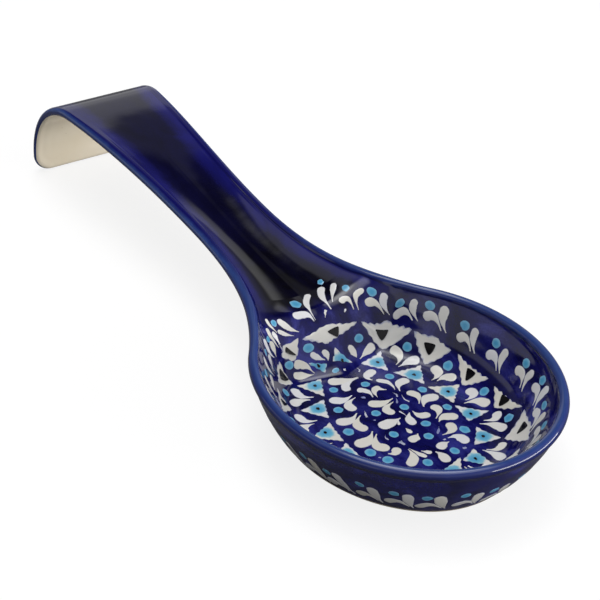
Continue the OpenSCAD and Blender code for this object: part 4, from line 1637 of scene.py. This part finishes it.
# How bright the room is at a height over the horizon (sine of the elevation)
ROOM = ((0.0, 0.2), (0.2, 0.18), (0.4, 0.08), (0.6, 0.03), (0.8, 0.03), (0.86, 0.1),
        (0.96, 2.45), (1.0, 2.95))
# Softer lights in the room: way, cosines of its edge and its middle, and brightness
GLOWS = (
    ((0.69, 0.69, 0.3), 0.6, 0.92, 0.5),
    ((0.75, -0.5, 0.3), 0.5, 0.9, 0.4),
    ((-0.26, -0.31, 0.914), 0.88, 0.985, 0.2),
    ((-0.27, 0.155, 0.951), 0.94, 0.985, 3.2),
)
# Panels seen in the gloss: azimuth and elevation, half width and half height in
# degrees, and brightness
PANELS = (
    (156, 15, 10, 16, 0.42),
    (154, 30, 6, 16, 0.13),
    (133.5, 25, 1.6, 6, 0.55),
    (-170, 56, 7, 2.5, 0.5),
    (-110, 10, 40, 9, 0.5),
)
# How far a panel's soft border reaches out and in, as the tangent of an angle
BORDER_OUT, BORDER_IN = 0.04, 0.02
# Ways whose cosine to a panel's middle is under this lie beside it or behind
PANEL_AHEAD = 0.05
# The camera: degrees round from the -Y side towards +X and up from the table, the
# place it looks at and its distance from it in mm, and the lens's focal length and film
# width in mm
CAMERA_ROUND = 57.9
CAMERA_UP = 31.85
CAMERA_TARGET = (-75.8, 2.7, 18.6)
CAMERA_DISTANCE = 635.3
CAMERA_LENS = 96
CAMERA_FILM = 36


def floor():
    """A pale sweep, evened out to white for the camera but keeping the shadow."""
    mesh = bpy.data.meshes.new("floor")
    h = PAPER_HALF
    mesh.from_pydata([(-h, -h, 0), (h, -h, 0), (h, h, 0), (-h, h, 0)], [], [(0, 1, 2, 3)])
    ground = bpy.data.objects.new("floor", mesh)
    bpy.context.scene.collection.objects.link(ground)
    material, tree, output = fresh("Paper, matt white")
    mesh.materials.append(material)
    seen = add(tree, "LightPath").outputs["Is Camera Ray"]
    paper = add(tree, "BsdfDiffuse", {"Color": grey(PAPER_LIGHT)})
    strength = add(tree, "Math", {"operation": "MULTIPLY", 1: PAPER_LIFT}, {0: seen})
    lift = add(tree, "Emission", {"Color": grey(1.0)}, {"Strength": strength.outputs[0]})
    both = add(tree, "AddShader", {}, {0: paper.outputs[0], 1: lift.outputs[0]})
    tree.links.new(both.outputs[0], output.inputs[0])


def glow_light(tree, way, glow):
    """Brightness of a soft light, full at its middle and none past its edge."""
    towards, edge, middle, bright = glow
    facing = add(tree, "VectorMath", {"operation": "DOT_PRODUCT",
                                      1: Vector(towards).normalized()}, {0: way})
    level = add(tree, "MapRange", {"From Min": edge, "From Max": middle, "To Max": bright,
                                   "interpolation_type": "SMOOTHSTEP"},
                {"Value": facing.outputs["Value"]})
    return level.outputs[0]


def panel_share(tree, way, panel):
    """Where a panel shows: 1 within it and 0 outside, with a soft border."""
    azimuth, elevation, across, up = panel
    a, e = math.radians(azimuth), math.radians(elevation)
    ahead = Vector((math.cos(a) * math.cos(e), math.sin(a) * math.cos(e), math.sin(e)))
    right = Vector((-math.sin(a), math.cos(a), 0))
    depth = add(tree, "VectorMath", {"operation": "DOT_PRODUCT", 1: ahead}, {0: way})
    shown = add(tree, "Math", {"operation": "GREATER_THAN", 1: PANEL_AHEAD},
                {0: depth.outputs["Value"]})
    for side, half in ((right, across), (ahead.cross(right), up)):
        off = add(tree, "VectorMath", {"operation": "DOT_PRODUCT", 1: side}, {0: way})
        share = add(tree, "Math", {"operation": "DIVIDE"},
                    {0: off.outputs["Value"], 1: depth.outputs["Value"]})
        away = add(tree, "Math", {"operation": "ABSOLUTE"}, {0: share.outputs[0]})
        reach = math.tan(math.radians(half))
        within = add(tree, "MapRange", {"From Min": reach + BORDER_OUT,
                                        "From Max": reach - BORDER_IN,
                                        "interpolation_type": "SMOOTHSTEP"},
                     {"Value": away.outputs[0]})
        shown = add(tree, "Math", {"operation": "MULTIPLY"},
                    {0: shown.outputs[0], 1: within.outputs[0]})
    return shown.outputs[0]


def sky():
    """Room light: dim walls, dark higher up, a bright soft ceiling, and its lights."""
    world = bpy.data.worlds.new("Studio")
    bpy.context.scene.world = world
    world.use_nodes = True
    tree = world.node_tree
    tree.nodes.clear()
    way = add(tree, "TexCoord").outputs["Generated"]
    height = add(tree, "SeparateXYZ", {}, {0: way}).outputs[2]
    top = max(level for _, level in ROOM)
    level = add(tree, "ValToRGB", {"stops": [(at, grey(level / top)) for at, level in ROOM]},
                {0: height})
    level.color_ramp.interpolation = "EASE"
    room = add(tree, "Math", {"operation": "MULTIPLY", 1: top}, {0: level.outputs[0]})
    for glow in GLOWS:
        room = add(tree, "Math", {"operation": "ADD"},
                   {0: room.outputs[0], 1: glow_light(tree, way, glow)})
    for *panel, bright in PANELS:
        room = add(tree, "Math", {"operation": "MULTIPLY_ADD", 1: bright},
                   {0: panel_share(tree, way, panel), 2: room.outputs[0]})
    seen = add(tree, "LightPath").outputs["Is Camera Ray"]
    room = add(tree, "Background", {"Color": grey(1.0)}, {"Strength": room.outputs[0]})
    white = add(tree, "Background", {"Color": grey(1.0)})
    back = add(tree, "MixShader", {}, {0: seen, 1: room.outputs[0], 2: white.outputs[0]})
    tree.links.new(back.outputs[0], add(tree, "OutputWorld").inputs[0])


def soft_box():
    """A low, wide soft box on the camera's right, whose light gets under the handle."""
    lamp = bpy.data.lights.new("Soft box", "AREA")
    lamp.shape = "RECTANGLE"
    lamp.size, lamp.size_y = SOFT_BOX_SIZE
    lamp.energy = SOFT_BOX_POWER
    box = bpy.data.objects.new("Soft box", lamp)
    box.location = SOFT_BOX_PLACE
    towards = Vector(SOFT_BOX_TARGET) - Vector(SOFT_BOX_PLACE)
    box.rotation_euler = towards.to_track_quat("-Z", "Y").to_euler()
    bpy.context.scene.collection.objects.link(box)


def camera():
    """The photograph's view: from beyond the dish, to one side and 32 degrees up."""
    a, e = math.radians(CAMERA_ROUND), math.radians(CAMERA_UP)
    back = Vector((math.sin(a) * math.cos(e), -math.cos(a) * math.cos(e), math.sin(e)))
    lens = bpy.data.cameras.new("Camera")
    lens.lens = CAMERA_LENS
    lens.sensor_width = CAMERA_FILM
    lens.clip_start = 0.01
    eye = bpy.data.objects.new("Camera", lens)
    eye.location = Vector(CAMERA_TARGET) * MM + back * CAMERA_DISTANCE * MM
    right = Vector((math.cos(a), math.sin(a), 0))
    turn = Matrix((right, back.cross(right), back)).transposed()
    eye.rotation_euler = turn.to_euler()
    bpy.context.scene.collection.objects.link(eye)
    bpy.context.scene.camera = eye
    bpy.context.scene.view_settings.view_transform = "Standard"


# Add-on

STEPS = (SPOONREST_OT_clay, SPOONREST_OT_dish_glazes, SPOONREST_OT_handle_glazes,
         SPOONREST_OT_rim, SPOONREST_OT_inside_marks, SPOONREST_OT_rings,
         SPOONREST_OT_outside_marks, SPOONREST_OT_stage)


class SPOONREST_PT_panel(bpy.types.Panel):
    """Buttons for the pieces, in the order in which they are built"""

    bl_idname = "SPOONREST_PT_panel"
    bl_label = "Spoon rest"
    bl_space_type = "VIEW_3D"
    bl_region_type = "UI"
    bl_category = "Spoon rest"

    def draw(self, context):
        for group in (context.scene.spoon_rest_sizes, context.scene.spoon_rest_colours):
            box = self.layout.box()
            for name in type(group).__annotations__:
                box.prop(group, name)
        for step in STEPS:
            self.layout.operator(step.bl_idname)


CLASSES = (SpoonRestSizes, SpoonRestColours, *STEPS, SPOONREST_PT_panel)


def register():
    for cls in CLASSES:
        bpy.utils.register_class(cls)
    bpy.types.Scene.spoon_rest_sizes = bpy.props.PointerProperty(type=SpoonRestSizes)
    bpy.types.Scene.spoon_rest_colours = bpy.props.PointerProperty(type=SpoonRestColours)


def unregister():
    del bpy.types.Scene.spoon_rest_sizes
    del bpy.types.Scene.spoon_rest_colours
    for cls in reversed(CLASSES):
        bpy.utils.unregister_class(cls)


def main():
    register()
    for step in STEPS:
        group, name = step.bl_idname.split(".")
        getattr(getattr(bpy.ops, group), name)()
    bpy.context.view_layer.update()


if __name__ == "__main__":
    main()
